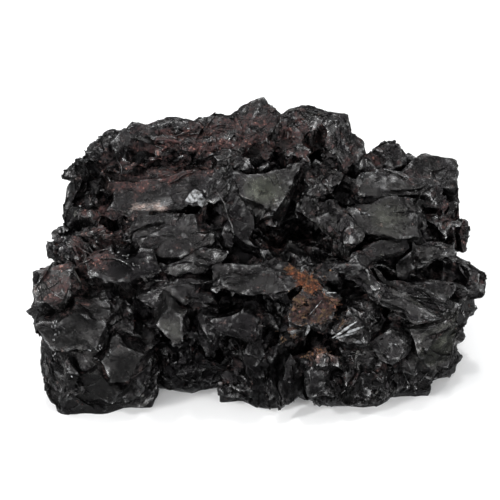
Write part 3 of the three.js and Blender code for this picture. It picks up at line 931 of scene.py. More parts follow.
def polygon_plates(generator, middles, normals, along, widths, lengths, thick, corners=6, ragged=0.26):
    """Joined thin plates with irregular rims: corners and faces. normals is the way each plate looks."""
    count = len(middles)
    side = np.cross(normals, along)
    turn = (np.arange(corners) + 0.55 * generator.random((count, corners))) * 2 * np.pi / corners
    reach = 0.52 - ragged * generator.random((count, corners))
    u = np.cos(turn) * reach * lengths[:, None]
    v = np.sin(turn) * reach * widths[:, None]
    centre = middles[:, None]
    flat = centre + u[..., None] * along[:, None] + v[..., None] * side[:, None]
    bow = 0.10 * generator.random(count)[:, None] * (u**2 / lengths[:, None])
    bow = bow[..., None] * normals[:, None]
    wedge = 1 + 0.5 * (generator.random((count, corners)) - 0.5)
    lift = normals[:, None] * (0.5 * thick[:, None] * wedge)[..., None]
    top = centre + (flat - centre) * 0.88 + lift + bow
    points = np.concatenate([top, flat - lift + bow], axis=1).reshape(-1, 3)
    faces = []
    for base in range(0, 2 * corners * count, 2 * corners):
        upper = list(range(base, base + corners))
        lower = list(range(base + corners, base + 2 * corners))
        faces += [upper, lower[::-1]]
        for k in range(corners):
            after = (k + 1) % corners
            faces.append([upper[k], lower[k], lower[after], upper[after]])
    return points, faces


def hanging(surface, points, per_item):
    """Which items, each of per_item points, reach further out of the surface than they may."""
    out = np.zeros(len(points), bool)
    for i, point in enumerate(points):
        ground, normal, _, far = surface.tree.find_nearest(Vector(point))
        out[i] = far > PLATE_REACH and (Vector(point) - ground) @ normal > 0
    return out.reshape(-1, per_item).any(axis=1)


def plates(name, surface, material, count, lengths, tilts):
    """Thin plates that lie in the surface like shingles, nearly parallel inside each patch."""
    generator = rng_for(name)
    weight = np.clip(1 - 1.6 * surface.at("calm"), 0, 1) * (surface.middle[:, 2] > 1.5)
    weight *= np.clip(1 - 1.1 * surface.at("closed"), 0, 1)
    weight *= 1 - 0.6 * surface.behind
    chosen, points, outward = surface.scatter(generator, weight, count)
    along = unit(flattened(grain_at(points), outward) + 0.20 * generator.normal(size=(count, 3)))
    along = unit(flattened(along, outward))
    patch, _, _ = nearest_cell(points, PLATE_PATCH, 33)
    draw = hashed(patch, 34)
    tilt = np.radians(between(*tilts, draw[:, 0])) + np.radians(9) * generator.normal(size=count)
    tilt = np.where(draw[:, 1] > 0.5, tilt, -tilt)[:, None]
    normal = outward * np.cos(tilt) + np.cross(along, outward) * np.sin(tilt)
    length = between(*lengths, generator.random(count) ** 2)
    width = length * (0.38 + 0.4 * generator.random(count))
    thick = 0.12 + 0.035 * length + 0.10 * generator.random(count)
    # The high rim stands a little proud, the rest is sunk in the surface.
    rise = 0.42 * width * np.abs(np.sin(tilt[:, 0]))
    proud = (0.25 + 0.75 * generator.random(count)) * (0.3 + 0.10 * length)
    centre = points + outward * np.minimum(proud - rise, PLATE_RISE)[:, None]
    corners, faces = polygon_plates(generator, centre, normal, along, width, length, thick)
    per_plate, per_item = len(corners) // count, len(faces) // count
    kept = ~hanging(surface, corners, per_plate)
    corners = corners.reshape(count, per_plate, 3)[kept].reshape(-1, 3)
    chosen, normal, along, count = chosen[kept], normal[kept], along[kept], kept.sum()
    shade = 0.7 * generator.random(count) ** 1.6 * (1 - surface.at("dark_tone_and_shade", chosen))
    grown_piece(
        name, corners, faces[: count * per_item], material, per_item,
        tone=np.maximum(shade, 0.9 * surface.at("pale", chosen)),
        # The closed-in value gives painted shade in the hollows.
        closed=0.9 * surface.at("closed", chosen),
        dust=surface.at("dust", chosen),
        # A few plates get a faint painted highlight.
        crest=0.30 * generator.random(count) ** 3,
        across=np.cross(normal, along),
    )


# Ribs: the fewest steps of one, and how deep its foot is. Long edges: their steps and their width.
RIB_LEAST = 5
RIB_SUNK = 0.5
EDGE_STRIDE = 0.6
EDGE_WIDE = 0.3
# Long plate edges that can be told apart: points along each, its height, its lean in degrees and its dust.
EDGES = (
    (((-38, -17.5, 38), (-40.5, -11, 39)), 1, 0, 0.3),
    (((-38, -17.5, 38), (-43, -15, 40)), 0.9, 10, 0.35),
    (((-38, -17.5, 37.5), (-43, -18, 34.5)), 0.9, 20, 0.4),
    (((-37.5, -17, 38), (-34, -16, 39)), 0.8, -10, 0.3),
    (((-37.5, -18.5, 37.5), (-33, -18.5, 37.5), (-28.5, -20, 35.5), (-25.5, -20.5, 31.5)), 0.9, 15, 0.1),
    (((-33.5, 13.5, 53.5), (-28.5, 11, 53), (-23.5, 8.5, 51.5), (-20, 7.5, 49)), 1, 20, 0.1),
    (((-40.5, 7, 50), (-38, 5, 46), (-40, 3, 42)), 1, 0, 0.2),
    (((-36, 9, 51.5), (-33, 5.5, 48.5), (-34, 3, 45.5)), 1, 10, 0.2),
    (((23, 2, 48), (28.5, 4, 48.5), (33, 2, 49), (37, -0.5, 47.5)), 0.9, -10, 0),
    (((-11, -5, 50), (-9, -8, 47), (-6.5, -10.5, 41), (-5, -11, 35)), 0.9, 10, 0),
    (((18.5, -12.5, 33), (28, -13.5, 32), (37.5, -13, 29.5), (49.5, -10.5, 26.5)), 1.1, 0, 0),
    (((20, -16.5, 29.5), (31.5, -22, 30.5), (44.5, -17, 25)), 0.9, 0, 0),
    (((16.5, -9.5, 34), (22.5, -18, 36), (33, -17, 31), (40, -17.5, 25.5)), 1, 20, 0.2),
    (((-25.5, -18, 36.5), (-17, -20, 35), (-8.5, -15, 34)), 1, 0, 0),
    (((-26, -18.5, 32), (-16, -23, 33), (-5, -23, 35.5)), 0.8, -10, 0.1),
    (((-45, -26.5, 17), (-44, -29.5, 13), (-46, -30, 7.5)), 1, 0, 0),
    (((-44, -29.5, 13), (-40, -28, 5)), 0.8, 20, 0),
)


# Ribs: name, how many, steps of the longest, length of a step, and least and greatest height.
RIBS = (
    ("long_ribs", 1300, 24, 0.75, (0.25, 1.1)),
    ("fine_ribs", 3200, 13, 0.45, (0.12, 0.55)),
)
# Plates: name, how many, and least and greatest length and tilt, in degrees.
PLATES = (
    ("broad_plates", 620, (4.0, 10.0), (4, 24)),
    ("small_plates", 1900, (1.2, 3.6), (6, 32)),
)
# Grains and grains of dust: how many, and least and greatest size.
CRYSTAL_GRAINS = (9000, (0.2, 0.6))
DUST_GRAINS = (6000, (0.12, 0.40))
CRUST_GRAINS = 20000


class Ribbons:
    """Thin ribbons that make up one piece."""

    def __init__(self):
        self.corners, self.faces, self.owner, self.top = [], [], [], []

    def add(self, owner, path, lean, tall, wide, wobble):
        """A ribbon on a path of places, normals and ways ahead, tallest in the middle."""
        base = len(self.corners)
        for k, (place, normal, ahead) in enumerate(path):
            share = math.sin(math.pi * (k + 0.35) / (len(path) - 0.3)) ** 0.6
            side = np.cross(normal, ahead)
            up = normal * math.cos(lean) + side * math.sin(lean)
            half = side * wide / 2
            top = place + up * (tall * share * wobble[k])
            low = place - normal * RIB_SUNK
            self.corners += [low - half, low + half, top + 0.35 * half, top - 0.35 * half]
        last = len(self.corners) - 4
        for ring in range(base, last, 4):
            for s in range(4):
                a, b = ring + s, ring + (s + 1) % 4
                self.faces.append([a, b, b + 4, a + 4])
                self.top.append(s == 2)
        self.faces += [[base + 3, base + 2, base + 1, base], [last, last + 1, last + 2, last + 3]]
        self.top += [False, False]
        self.owner += [owner] * (len(self.faces) - len(self.owner))

    def finish(self, name, material, crest, **fields):
        """One piece of them all: each field has one value for each owner, and the crest, wear with a
        painted highlight, is strongest on the tops.
        """
        crest = crest[self.owner] * (0.3 + 0.7 * np.array(self.top))
        fields = {label: values[self.owner] for label, values in fields.items()}
        grown_piece(name, np.array(self.corners), self.faces, material, 1, crest=crest, **fields)


def smoothed(rows):
    """Each row averaged with the two before and the two after it."""
    padded = np.pad(rows, ((2, 2), (0, 0)), mode="edge")
    return sum(padded[k : k + len(rows)] for k in range(5)) / 5


def edges(surface, material):
    """The named long edges, each along its line on the surface."""
    generator = rng_for("edges")
    ribbons = Ribbons()
    for i, (line, tall, lean, _) in enumerate(EDGES):
        line = np.array(line, float)
        run = np.concatenate([[0], np.cumsum(np.linalg.norm(np.diff(line, axis=0), axis=1))])
        steps = np.arange(0, run[-1], EDGE_STRIDE)
        wanted = np.stack([np.interp(steps, run, line[:, k]) for k in range(3)], axis=1)
        found = zip(*(surface.nearest(point) for point in wanted))
        places, normals = (smoothed(smoothed(np.array(rows))) for rows in found)
        path = list(zip(places, unit(normals), unit(np.gradient(places, axis=0))))
        wobble = 0.7 + 0.3 * generator.random(len(steps))
        ribbons.add(i, path, math.radians(lean), tall, EDGE_WIDE, wobble)
    dust = np.array([dust for _, _, _, dust in EDGES])
    along = unit([np.subtract(line[-1], line[0]) for line, _, _, _ in EDGES])
    ribbons.finish(
        # The crest, wear with a painted highlight, fades where the edge is dusty.
        "plate_edges", material, 1 - 0.8 * dust,
        tone=np.full(len(EDGES), 0.6),
        closed=np.zeros(len(EDGES)),
        dust=dust,
        across=np.cross(along, (0, -0.5, 0.86)),
    )


def walked(surface, here, normal, ahead, curl, stride, steps):
    """A path over the surface that keeps its way and stops at a gap, a sharp turn or the floor."""
    path = []
    for _ in range(steps):
        found, face_normal = surface.nearest(here)
        if np.linalg.norm(found - here) > 0.8 * stride or face_normal @ normal < 0.3 or found[2] < 1:
            break
        normal = unit(0.75 * normal + 0.25 * face_normal)
        ahead = unit(ahead + curl * np.cross(normal, ahead))
        ahead = unit(ahead - (ahead @ normal) * normal)
        path.append((found, normal, ahead))
        here = found + stride * ahead
    return path


def ribs(name, surface, material, count, steps, stride, tall):
    """Long thin ribs that run along the surface with the grain: the edges of plates standing in it."""
    generator = rng_for(name)
    weight = (1 - 0.9 * surface.at("calm")) * (surface.middle[:, 2] > 2)
    weight *= 1 - 0.8 * surface.at("closed")
    weight *= 1 - 0.5 * surface.behind
    chosen, points, outward = surface.scatter(generator, weight, count)
    way = unit(flattened(grain_at(points) + 0.25 * generator.normal(size=(count, 3)), outward))
    curl = generator.normal(size=count) * 0.05
    lean = np.radians(generator.uniform(-40, 40, count))
    tall = between(*tall, generator.random(count) ** 2)
    wide = 0.12 + 0.14 * generator.random(count)
    long = generator.integers(steps // 3, steps + 1, count)
    ribbons = Ribbons()
    for i in range(count):
        path = walked(surface, points[i], outward[i], way[i], curl[i], stride, long[i])
        if len(path) >= RIB_LEAST:
            wobble = 0.75 + 0.25 * generator.random(len(path))
            ribbons.add(i, path, lean[i], tall[i], wide[i], wobble)
    tone = (0.15 + 0.6 * generator.random(count) ** 1.5) * (1 - surface.at("dark_tone_and_shade", chosen))
    ribbons.finish(
        name, material, 0.3 + 0.7 * generator.random(count),
        tone=tone,
        # The closed-in value gives painted shade in the hollows.
        closed=0.75 * surface.at("closed", chosen),
        dust=0.85 * surface.at("dust", chosen),
        across=np.cross(way, outward),
    )


# The faces of a grain, whose corners come in opposite pairs along its three axes.
OCTAHEDRON = ((0, 2, 4), (2, 1, 4), (1, 3, 4), (3, 0, 4), (2, 0, 5), (1, 2, 5), (3, 1, 5), (0, 3, 5))


def octahedra(tips):
    """Corners and faces of small crystals, from six arrays of tips that come in opposite pairs."""
    faces = [[6 * i + k for k in face] for i in range(len(tips[0])) for face in OCTAHEDRON]
    return np.stack(tips, axis=1).reshape(-1, 3), faces


def grains(name, surface, material, count, sizes, weight):
    """Small crystals with six corners, half sunk in the surface."""
    generator = rng_for(name)
    chosen, points, outward = surface.scatter(generator, weight, count)
    size = between(*sizes, generator.random(count) ** 2.5)
    first = unit(generator.normal(size=(count, 3)))
    second = unit(np.cross(first, outward) + 1e-6)
    centre = points + outward * (0.1 * size)[:, None]
    stretch = 0.35 + 0.65 * generator.random((count, 3))
    tips = []
    for axis, way in enumerate((first, second, np.cross(first, second))):
        reach = way * (0.5 * size * stretch[:, axis])[:, None]
        tips += [centre + reach, centre - reach]
    grown_piece(
        name, *octahedra(tips), material, len(OCTAHEDRON),
        tone=(0.1 + 0.8 * generator.random(count) ** 2) * (1 - surface.at("dark_tone_and_shade", chosen)),
        # The closed-in value gives painted shade in the hollows.
        closed=0.9 * surface.at("closed", chosen),
        dust=np.clip(surface.at("dust", chosen) + 0.3 * generator.normal(size=count), 0, 1),
        # A few grains get a painted glint.
        crest=(generator.random(count) > 0.985) * 0.6,
        across=first,
    )


# The rust crust: middle of each place, its radii along X, Y and Z, how fresh it is and how high it piles.
CRUST_PLACES = (
    ((6.6, -21.2, 36.6), (1, 0.8, 0.4), 0.95, 0.4),
    ((7.6, -21.8, 35.8), (1.4, 0.9, 0.6), 1, 0.8),
    ((9.2, -22.4, 35), (1.7, 1.1, 1), 1, 1.2),
    ((10.6, -23.2, 34), (1.9, 1.2, 1.3), 1, 1.6),
    ((11.8, -23.9, 32.8), (1.6, 1.1, 1.4), 0.9, 1.2),
    ((13.9, -21.6, 34.4), (1.5, 0.9, 0.9), 0.25, 0.4),
    ((8.8, -25.6, 30.4), (1.8, 0.9, 2), 0.05, 0.5),
    ((9.8, -27, 28.6), (2, 0.9, 1.8), 0.10, 0.6),
    ((12, -27.6, 27.2), (2.4, 0.9, 1.4), 0.08, 0.6),
    ((15.6, -26.8, 28.4), (1.9, 0.9, 1), 0.45, 0.6),
    ((15.7, -25.6, 30.1), (1.7, 0.9, 1.2), 0.10, 0.4),
    ((12.6, -26.6, 29.2), (3, 0.9, 2.4), 0.04, 0.35),
    ((6.5, -27.3, 21.5), (1.6, 0.8, 1.8), 0.05, 0.25),
    ((13.5, -28.6, 18.6), (3.8, 0.8, 1.1), 0.3, 0.3),
)
CRUST_GAP_SIZE = 2.4
# Tufts of rust needles: middle, radius, how many, how fresh, and the way they point.
TUFTS = (
    ((7, -21.6, 36), 1, 40, 0.9, (-0.9, -0.5, 0.5)),
    ((9.4, -22.6, 34.6), 1.4, 70, 1, (0.2, -0.9, 0.5)),
    ((11.6, -23.8, 33.2), 1.2, 60, 0.9, (0.8, -0.8, 0.1)),
    ((9, -27, 29), 2, 80, 0.2, (1, -0.5, 0.8)),
    ((12.4, -28, 27.5), 2.2, 90, 0.1, (1, -0.5, 0.8)),
    ((15.4, -26.4, 29.2), 1.8, 60, 0.4, (1, -0.4, 0.7)),
    ((17, -27.6, 26), 1.8, 50, 0, (1, -0.3, 0.7)),
)


def crust(surface, material, count):
    """Granular rust that lies on the pocket's bed, piles up a little and leaves gaps where it is old."""
    generator = rng_for("crust")
    bulk = np.array([radii[0] * radii[2] * (0.6 + pile) for _, radii, _, pile in CRUST_PLACES])
    which = generator.choice(len(CRUST_PLACES), size=count, p=bulk / bulk.sum())
    middles, radii, fresh, pile = (np.array(column)[which] for column in zip(*CRUST_PLACES))
    spread = generator.normal(size=(count, 3)) * 0.5
    points = middles + radii * spread
    kept = (fresh > 0.5) | (value_noise(points, CRUST_GAP_SIZE, 99) > -0.25)
    points, fresh, pile, spread = points[kept], fresh[kept], pile[kept], spread[kept]
    count = len(points)
    pile = pile * np.clip(1 - (spread**2).sum(axis=1), 0, 1) * generator.random(count)
    size = 0.09 + 0.17 * generator.random(count) ** 2
    ground, normal = (np.array(rows) for rows in zip(*(surface.nearest(point) for point in points)))
    middle = ground + normal * pile[:, None]
    tips = []
    for axis in unit(generator.normal(size=(3, count, 3))):
        for way in (axis, -axis):
            tips.append(middle + way * (size * (0.5 + 0.8 * generator.random(count)))[:, None])
    uneven = 1 + 0.25 * value_noise(points, 1.2, 100) + 0.3 * generator.normal(size=count)
    fresh = np.clip(fresh * uneven, 0, 1)
    grown_piece("rust_crust", *octahedra(tips), material, len(OCTAHEDRON), fresh=fresh)


def needles(surface, material):
    """Fine rust needles, in tufts over the crust."""
    generator = rng_for("needles")
    corners, faces, tint = [], [], []
    for middle, radius, count, fresh, ahead in TUFTS:
        for _ in range(count):
            ground, normal = surface.nearest(middle + radius * 0.6 * generator.normal(size=3))
            way = unit(unit(ahead) + 0.4 * normal + 0.35 * generator.normal(size=3))
            side = unit(np.cross(way, normal))
            other = np.cross(way, side)
            long = 0.6 + 1.9 * generator.random() ** 1.5
            thick = 0.04 + 0.04 * generator.random()
            foot = ground + normal * 0.3 * generator.random() - way * 0.3
            base = len(corners)
            for turn in np.radians((0, 120, 240)):
                corners.append(foot + thick * (side * math.cos(turn) + other * math.sin(turn)))
            corners.append(foot + way * long)
            faces += [[base, base + 2, base + 1]]
            faces += [[base + k, base + (k + 1) % 3, base + 3] for k in range(3)]
            tint.append(np.clip(fresh + 0.2 * generator.normal(), 0, 1))
    grown_piece("rust_needles", np.array(corners), faces, material, 4, fresh=tint)


# Clean crystals: middle, the way each looks and the way it runs, and its length and width.
CRYSTALS = (
    ((-15.4, -3.2, 45.6), (0, -0.70, 0.71), (1, 0.4, 0.5), 6.4, 5.2),
    ((-14.4, -4.6, 44.2), (0.3, -0.70, 0.65), (0.2, 0.5, 0.8), 3.2, 2.4),
    ((10.2, -24.8, 21.6), (0.2, -0.7, 0.7), (0.3, -0.1, 1), 3.2, 1.1),
    ((16, -24.3, 32.4), (0, -0.5, 0.85), (1, 0, 0.05), 3.4, 0.4),
    ((12.4, -26, 29.4), (0, -0.7, 0.70), (0.6, 0.2, 0.8), 6.5, 0.3),
    ((18.6, -28.1, 24.2), (-0.2, -0.7, 0.7), (1, 0.2, 0.62), 7, 0.7),
    ((19.8, -28.2, 25.6), (-0.1, -0.6, 0.8), (1, 0.2, 0.78), 6, 0.6),
    ((21, -28.4, 24.6), (0.1, -0.7, 0.7), (1, 0.1, 0.42), 5.6, 0.8),
    ((20.4, -28.2, 23.4), (0, -0.7, 0.7), (1, 0.1, 0.34), 4.4, 0.5),
    ((18.3, -28.3, 22.9), (-0.2, -0.7, 0.7), (1, 0.1, 0.30), 4.6, 0.6),
    ((21.8, -29, 21.9), (0.2, -0.6, 0.8), (1, 0, -0.35), 3, 1.1),
)
# Glints along broken edges: middle, the way each looks and the way it runs, and its length and width.
GLINTS = (
    ((-28, -6, 42), (-0.1, -0.45, 0.88), (1, 0.2, 0.3), 5.5, 1.2),
    ((-27, -5.5, 42.5), (-0.2, -0.55, 0.8), (1, 0.2, 0.3), 5, 1.6),
    ((-24, -5, 43.5), (0, -0.45, 0.88), (1, 0.3, 0.3), 4, 0.8),
    ((-46.5, -27.5, 24), (-0.2, -0.8, 0.5), (0.1, 0, 1), 5, 0.8),
    ((-48.5, -25.5, 18), (-0.3, -0.8, 0.5), (0.2, 0, 1), 6, 0.8),
    ((-36, -30, 20.5), (0.1, -0.8, 0.6), (1, 0, -0.3), 5, 0.8),
    ((38, -26.5, 24.5), (0.2, -0.7, 0.7), (1, 0.3, 0.2), 5, 0.8),
    ((23.5, -9, 44), (0.1, -0.4, 0.9), (1, -0.1, -0.2), 3.2, 0.5),
    ((24, 2, 48.5), (0, -0.3, 0.95), (1, 0.3, 0.1), 2.2, 0.6),
    ((27.5, 3, 49), (0, -0.3, 0.95), (1, 0.3, 0.1), 2.6, 0.7),
    ((32, 2.5, 49), (0, -0.35, 0.93), (1, -0.1, 0), 2.8, 0.6),
    ((35, 1, 48.5), (0.1, -0.3, 0.94), (1, -0.2, -0.1), 2.4, 0.6),
    ((-31.5, 14, 55.5), (-0.2, -0.5, 0.85), (1, 0.5, 0.8), 2.6, 0.5),
    ((-26, 14.5, 56), (-0.1, -0.4, 0.9), (1, 0, 0), 3.4, 0.7),
    ((-18, 14.5, 55), (-0.1, -0.5, 0.86), (1, 0.2, -0.6), 3.8, 0.4),
    ((-11.5, 13.5, 54.5), (-0.1, -0.5, 0.85), (1, 0, 0), 1.3, 1),
    ((10.5, 12.5, 57.5), (0, -0.4, 0.9), (1, 0, 0.1), 3, 0.7),
    ((13, 12.5, 58), (0, -0.4, 0.9), (1, 0, 0), 2, 0.6),
    ((-32, -17.5, 38), (0, -0.5, 0.86), (1, 0, -0.35), 4.2, 0.5),
    ((-28, -19.5, 36), (0.1, -0.5, 0.86), (1, 0, -0.6), 3, 0.4),
    ((-48.5, -17.5, 36), (-0.3, -0.4, 0.85), (1, 0.2, 0.2), 2.6, 0.8),
    ((-46.5, -19.5, 35), (-0.2, -0.5, 0.85), (0.3, -0.6, 1), 2.4, 0.8),
    ((-50.5, -20.5, 31.5), (-0.4, -0.5, 0.8), (0.2, -0.4, 1), 2.6, 0.6),
    ((40.5, 0, 47), (0.3, -0.5, 0.8), (1, -0.3, 0.4), 1.6, 0.5),
    ((43, 4.5, 46.5), (0.25, -0.5, 0.83), (1, 0.4, 0.1), 2.6, 0.6),
    ((41.5, -4.5, 41.5), (-0.2, -0.5, 0.85), (0.2, -0.4, 1), 3, 0.5),
    ((-44, -29.5, 14.5), (0.3, -0.8, 0.5), (-0.3, -0.1, 1), 3.4, 0.3),
    ((-38, -28.5, 17), (0, -0.7, 0.7), (1, 0, -0.7), 3.6, 0.3),
    ((3, -10, 44), (0.2, -0.6, 0.8), (1, 0.1, 0.5), 2.8, 0.9),
    ((-37, 1.5, 47), (-0.3, -0.4, 0.87), (0.2, -0.5, 1), 2.8, 0.4),
    ((-43, -2, 43), (-0.3, -0.4, 0.87), (-0.2, -0.4, 1), 2.6, 0.4),
    ((-8, -24, 31), (0, -0.6, 0.8), (1, 0, 0.1), 2.6, 0.25),
    ((30, -27.5, 20.5), (0.2, -0.6, 0.8), (1, 0.1, -0.5), 2.2, 0.4),
    ((25, 6, 53), (0.4, -0.4, 0.83), (0.5, 0.4, -1), 2.8, 0.4),
)
# Shards for each millimetre of a glint.
GLINT_SHARDS = 3.0
# A flake longer than this lies over most of the ground below it: how far that is looked for, and what
# percentage of it is covered.
LARGE_FLAKE = 1.0
SEARCH, OVER_SHARE = 4.0, 80
FLAKE_RISE = 0.1


def over_ground(surface, middle, normal, along, length, width):
    """The middle of a plate moved along its normal, so that it lies over most of the ground below it."""
    side = np.cross(normal, along)
    heights = []
    for u, v in product((-0.35, 0, 0.35), repeat=2):
        start = middle + normal * SEARCH + along * (u * length) + side * (v * width)
        hit, _, _, far = surface.tree.ray_cast(Vector(start), Vector(-normal), 2 * SEARCH)
        if hit is not None:
            heights.append(SEARCH - far)
    return middle + normal * (np.percentile(heights, OVER_SHARE) if heights else 0)


def glint_shards(generator):
    """Small shards strewn along each glint: middle, the way each looks and runs, length and width."""
    for middle, looks, runs, length, width in GLINTS:
        way = unit(runs)
        side = unit(np.cross(way, looks))
        for _ in range(round(GLINT_SHARDS * length)):
            shift = way * length * (generator.random() - 0.5) + side * width * 0.5 * generator.normal()
            turned = unit(looks) + 0.12 * generator.normal(size=3)
            runs_here = way + 0.25 * generator.normal(size=3)
            long = 0.25 + 0.8 * generator.random() ** 2
            yield middle + shift, turned, runs_here, long, 0.10 + 0.18 * generator.random()


def flakes(surface, material):
    """The clean crystals, and the glints as lines of small shards."""
    generator = rng_for("flakes")
    rows = [*CRYSTALS, *glint_shards(generator)]
    middles, normals, along = [], [], []
    for middle, looks, runs, length, width in rows:
        normal = unit(looks)
        way = unit(np.array(runs, float) - (np.array(runs) @ normal) * normal)
        if length > LARGE_FLAKE:
            ground = over_ground(surface, np.array(middle, float), normal, way, length, width)
        else:
            ground, _ = surface.nearest(middle)
        middles.append(ground + normal * FLAKE_RISE)
        normals.append(normal)
        along.append(way)
    lengths, widths = (np.array([row[k] for row in rows]) for k in (3, 4))
    shapes = (np.array(rows) for rows in (middles, normals, along))
    corners, faces = polygon_plates(
        generator, *shapes, widths, lengths, 0.08 + 0.05 * widths, corners=7, ragged=0.24
    )
    new_piece("clean_flakes", corners, faces, material)


# ---- the lump


def refined_solid():
    """The solid in small triangles: corners, triangles, facet names, how closed in, and the rims' tree."""
    corners, triangles = solid_triangles()
    facet = facet_names(corners, triangles)
    rim_tree = rims(corners, triangles)
    nothing = np.zeros((len(corners), 1))
    corners, triangles, facet, _ = refine(corners, triangles, facet, nothing, lambda points: COARSE_EDGE)
    closed = closed_in(corners, triangles)
    corners, triangles, facet, closed = refine(corners, triangles, facet, closed[:, None], edge_limit)
    return corners, triangles, facet, closed[:, 0], rim_tree


def facet_marks(corners, triangles, facet):
    """What the solid's facets give each corner: how calm and pale it is, a shade and that shade's share."""
    normals, area = triangle_normals(corners, triangles)
    facet_area = np.bincount(facet, weights=area)[facet]
    middle = corners[triangles].mean(axis=1)
    large = np.clip(facet_area / LARGE_FACET, 0, 1)
    calm = np.clip(blobs(middle, CALM) * (facet_area > CALM_FACET) + 0.15 * large, 0, 1)
    pale = blobs(middle, PALE) * (facet_area > PALE_FACET) * (normals[:, 1] < 0.2)
    _, first, which = np.unique(facet, return_index=True, return_inverse=True)
    shade = hashed(np.stack([first, 3 * first, 7 * first], axis=1), 5)[which, 0]
    marks = (calm, pale, shade, np.clip(facet_area / SHADED_FACET, 0, 1))
    return (to_corners(len(corners), triangles, values) for values in marks)


def settled_dust(corners, outward, height, closed, pale):
    """Thick in the dusty places, thin in every hollow, and more of it on what faces up and lies low."""
    settled = np.clip(0.35 + 0.65 * outward[:, 2], 0, 1)
    low = np.clip(0.55 - 0.7 * height, 0, 1)
    dust = blobs(corners, DUST) * (0.4 + 0.6 * settled) * (0.35 + 0.9 * low)
    dust = np.maximum(dust, 0.45 * np.clip(closed + 0.5 * low - 0.2, 0, 1) * settled)
    return np.clip(dust * (1 - 0.85 * pale), 0, 1)


def make_lump(material):
    """The lump's own surface as a mesh object, and as a Surface to place things on."""
    corners, triangles, facet, closed, rim_tree = refined_solid()
    calm, pale, shade, share = facet_marks(corners, triangles, facet)
    rim_far = np.array([rim_tree.find(corner)[2] for corner in corners])
    corners = bent(corners)
    smooth = corner_normals(corners, triangles)
    moved, height, crest, tone, way = broken(corners, smooth, calm, closed, rim_far)
    outward = corner_normals(moved, triangles)
    bulge = convexity(moved, triangles, outward)
    # Crests, convex corners and the shining places get wear with painted highlights.
    crest = np.maximum(np.clip(0.5 * crest + 2.2 * bulge, 0, 1), 0.95 * blobs(moved, SHINING))
    # Painted shade: how closed in a corner is, more in creases and pits, sets how near black its colour is
    # painted.
    closed = np.clip(closed - 0.2 * height - 1.1 * np.minimum(bulge, 0), 0, 1)
    closed = np.maximum(closed * (1 - blobs(moved, OPEN_PLACES)), blobs(corners, PITS))
    dust = settled_dust(moved, outward, height, closed, pale)
    # The listed places get a darker tone and more painted shade.
    dark_tone_and_shade = blobs(moved, DARK_TONE_AND_SHADE)
    closed = np.maximum(closed, 0.85 * dark_tone_and_shade)
    share *= 0.6
    tone = (1 - share) * tone + share * shade
    tone = np.maximum(0.65 * tone * (1 - dark_tone_and_shade), pale)
    across = unit(np.cross(smooth, way))

    moved, triangles, nearest = thinned(moved, triangles, LUMP_TRIANGLES)
    tone, closed, dust, crest, calm, dark_tone_and_shade, pale, across = (
        values[nearest] for values in (tone, closed, dust, crest, calm, dark_tone_and_shade, pale, across)
    )
    piece = new_piece("hematite_lump", moved, triangles, material, smooth=True)
    piece.data.set_sharp_from_angle(angle=SHARP_ANGLE)
    bloom = blobs(moved, BLOOM)
    seen = {"tone": tone, "closed": closed, "dust": dust, "crest": crest, "bloom": bloom, "across": across}
    add_attributes(piece.data, "POINT", seen)
    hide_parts(LUMP)
    return Surface(moved, triangles, closed=closed, dust=dust, calm=calm, dark_tone_and_shade=dark_tone_and_shade, pale=pale)


# ---- camera, light and floor

CAMERA_DISTANCE = 300.0
CAMERA_ELEVATION = math.radians(30)
CAMERA_AIM = (-2.44, -4.0, 31.4)
LENS_PER_SENSOR = 2.5
LIGHT_AIM = (0, 0, 25)
# Lights: name, place, size and power.
LIGHTS = (
    ("soft_top", (-120, 60, 560), 700, 1.2),
    ("front_fill", (-60, -560, 190), 360, 1.7),
    ("key_left", (-350, -250, 420), 70, 1.2),
    ("key_top", (40, -20, 620), 60, 0.7),
    ("back_left", (-160, 470, 300), 70, 0.55),
    ("back_right", (330, 330, 380), 70, 0.55),
    ("low_left", (-480, -320, 150), 220, 2.2),
    ("low_right", (470, -330, 170), 220, 2.0),
)
WORLD_STRENGTH = 0.40
# Half the floor's side, in metres.
FLOOR_HALF = 4.0


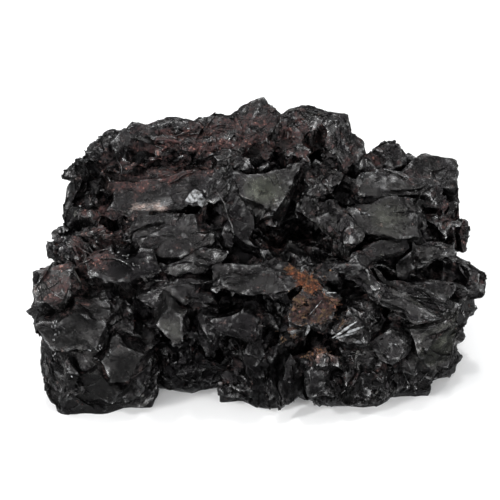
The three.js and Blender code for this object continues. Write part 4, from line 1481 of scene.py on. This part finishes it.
def make_camera():
    camera = bpy.data.cameras.new("camera")
    camera.sensor_width = 36
    camera.lens = LENS_PER_SENSOR * camera.sensor_width
    camera.clip_start = 0.01
    holder = put_in_scene("camera", camera)
    back = Vector((0, -math.cos(CAMERA_ELEVATION), math.sin(CAMERA_ELEVATION)))
    holder.location = (Vector(CAMERA_AIM) + back * CAMERA_DISTANCE) * MM
    holder.rotation_euler = (math.pi / 2 - CAMERA_ELEVATION, 0, 0)
    bpy.context.scene.camera = holder


def make_lights():
    for name, place, size, power in LIGHTS:
        light = bpy.data.lights.new(name, "AREA")
        light.shape = "DISK"
        light.size = size * MM
        light.energy = power
        holder = put_in_scene(name, light)
        holder.location = Vector(place) * MM
        holder.rotation_euler = (Vector(LIGHT_AIM) - Vector(place)).to_track_quat("-Z", "Y").to_euler()
    world = bpy.data.worlds.new("studio")
    bpy.context.scene.world = world
    world.use_nodes = True
    background = world.node_tree.nodes["Background"]
    background.inputs["Color"].default_value = (*WORLD_COLOUR, 1)
    background.inputs["Strength"].default_value = WORLD_STRENGTH


def make_floor():
    mesh = bpy.data.meshes.new("floor")
    ends = [(x * FLOOR_HALF, y * FLOOR_HALF, 0) for x, y in ((-1, -1), (1, -1), (1, 1), (-1, 1))]
    mesh.from_pydata(ends, [], [(0, 1, 2, 3)])
    floor = put_in_scene("floor", mesh)
    n = Nodes("floor")
    n.set(Base_Color=FLOOR_COLOUR, Roughness=0.9)
    mesh.materials.append(n.material)
    floor.visible_glossy = False


bpy.context.scene.view_settings.view_transform = "Standard"
make_camera()
make_floor()
make_lights()
metal = metal_material()
surface = make_lump(metal)
edges(surface, metal)
for name, *shape in RIBS:
    ribs(name, surface, metal, *shape)
for name, *shape in PLATES:
    plates(name, surface, metal, *shape)
granular = np.clip(0.3 + 2 * value_noise(surface.middle, 7.0, 98), 0.05, 1)
every_grain = (surface.middle[:, 2] > 0.8) * (0.4 + 0.6 * (surface.middle[:, 1] < 12)) * granular
grains("grains", surface, metal, *CRYSTAL_GRAINS, every_grain)
grains("dust_grains", surface, metal, *DUST_GRAINS, surface.at("dust") ** 2)
rust = crust_material()
crust(surface, rust, CRUST_GRAINS)
needles(surface, rust)
flakes(surface, flake_material())
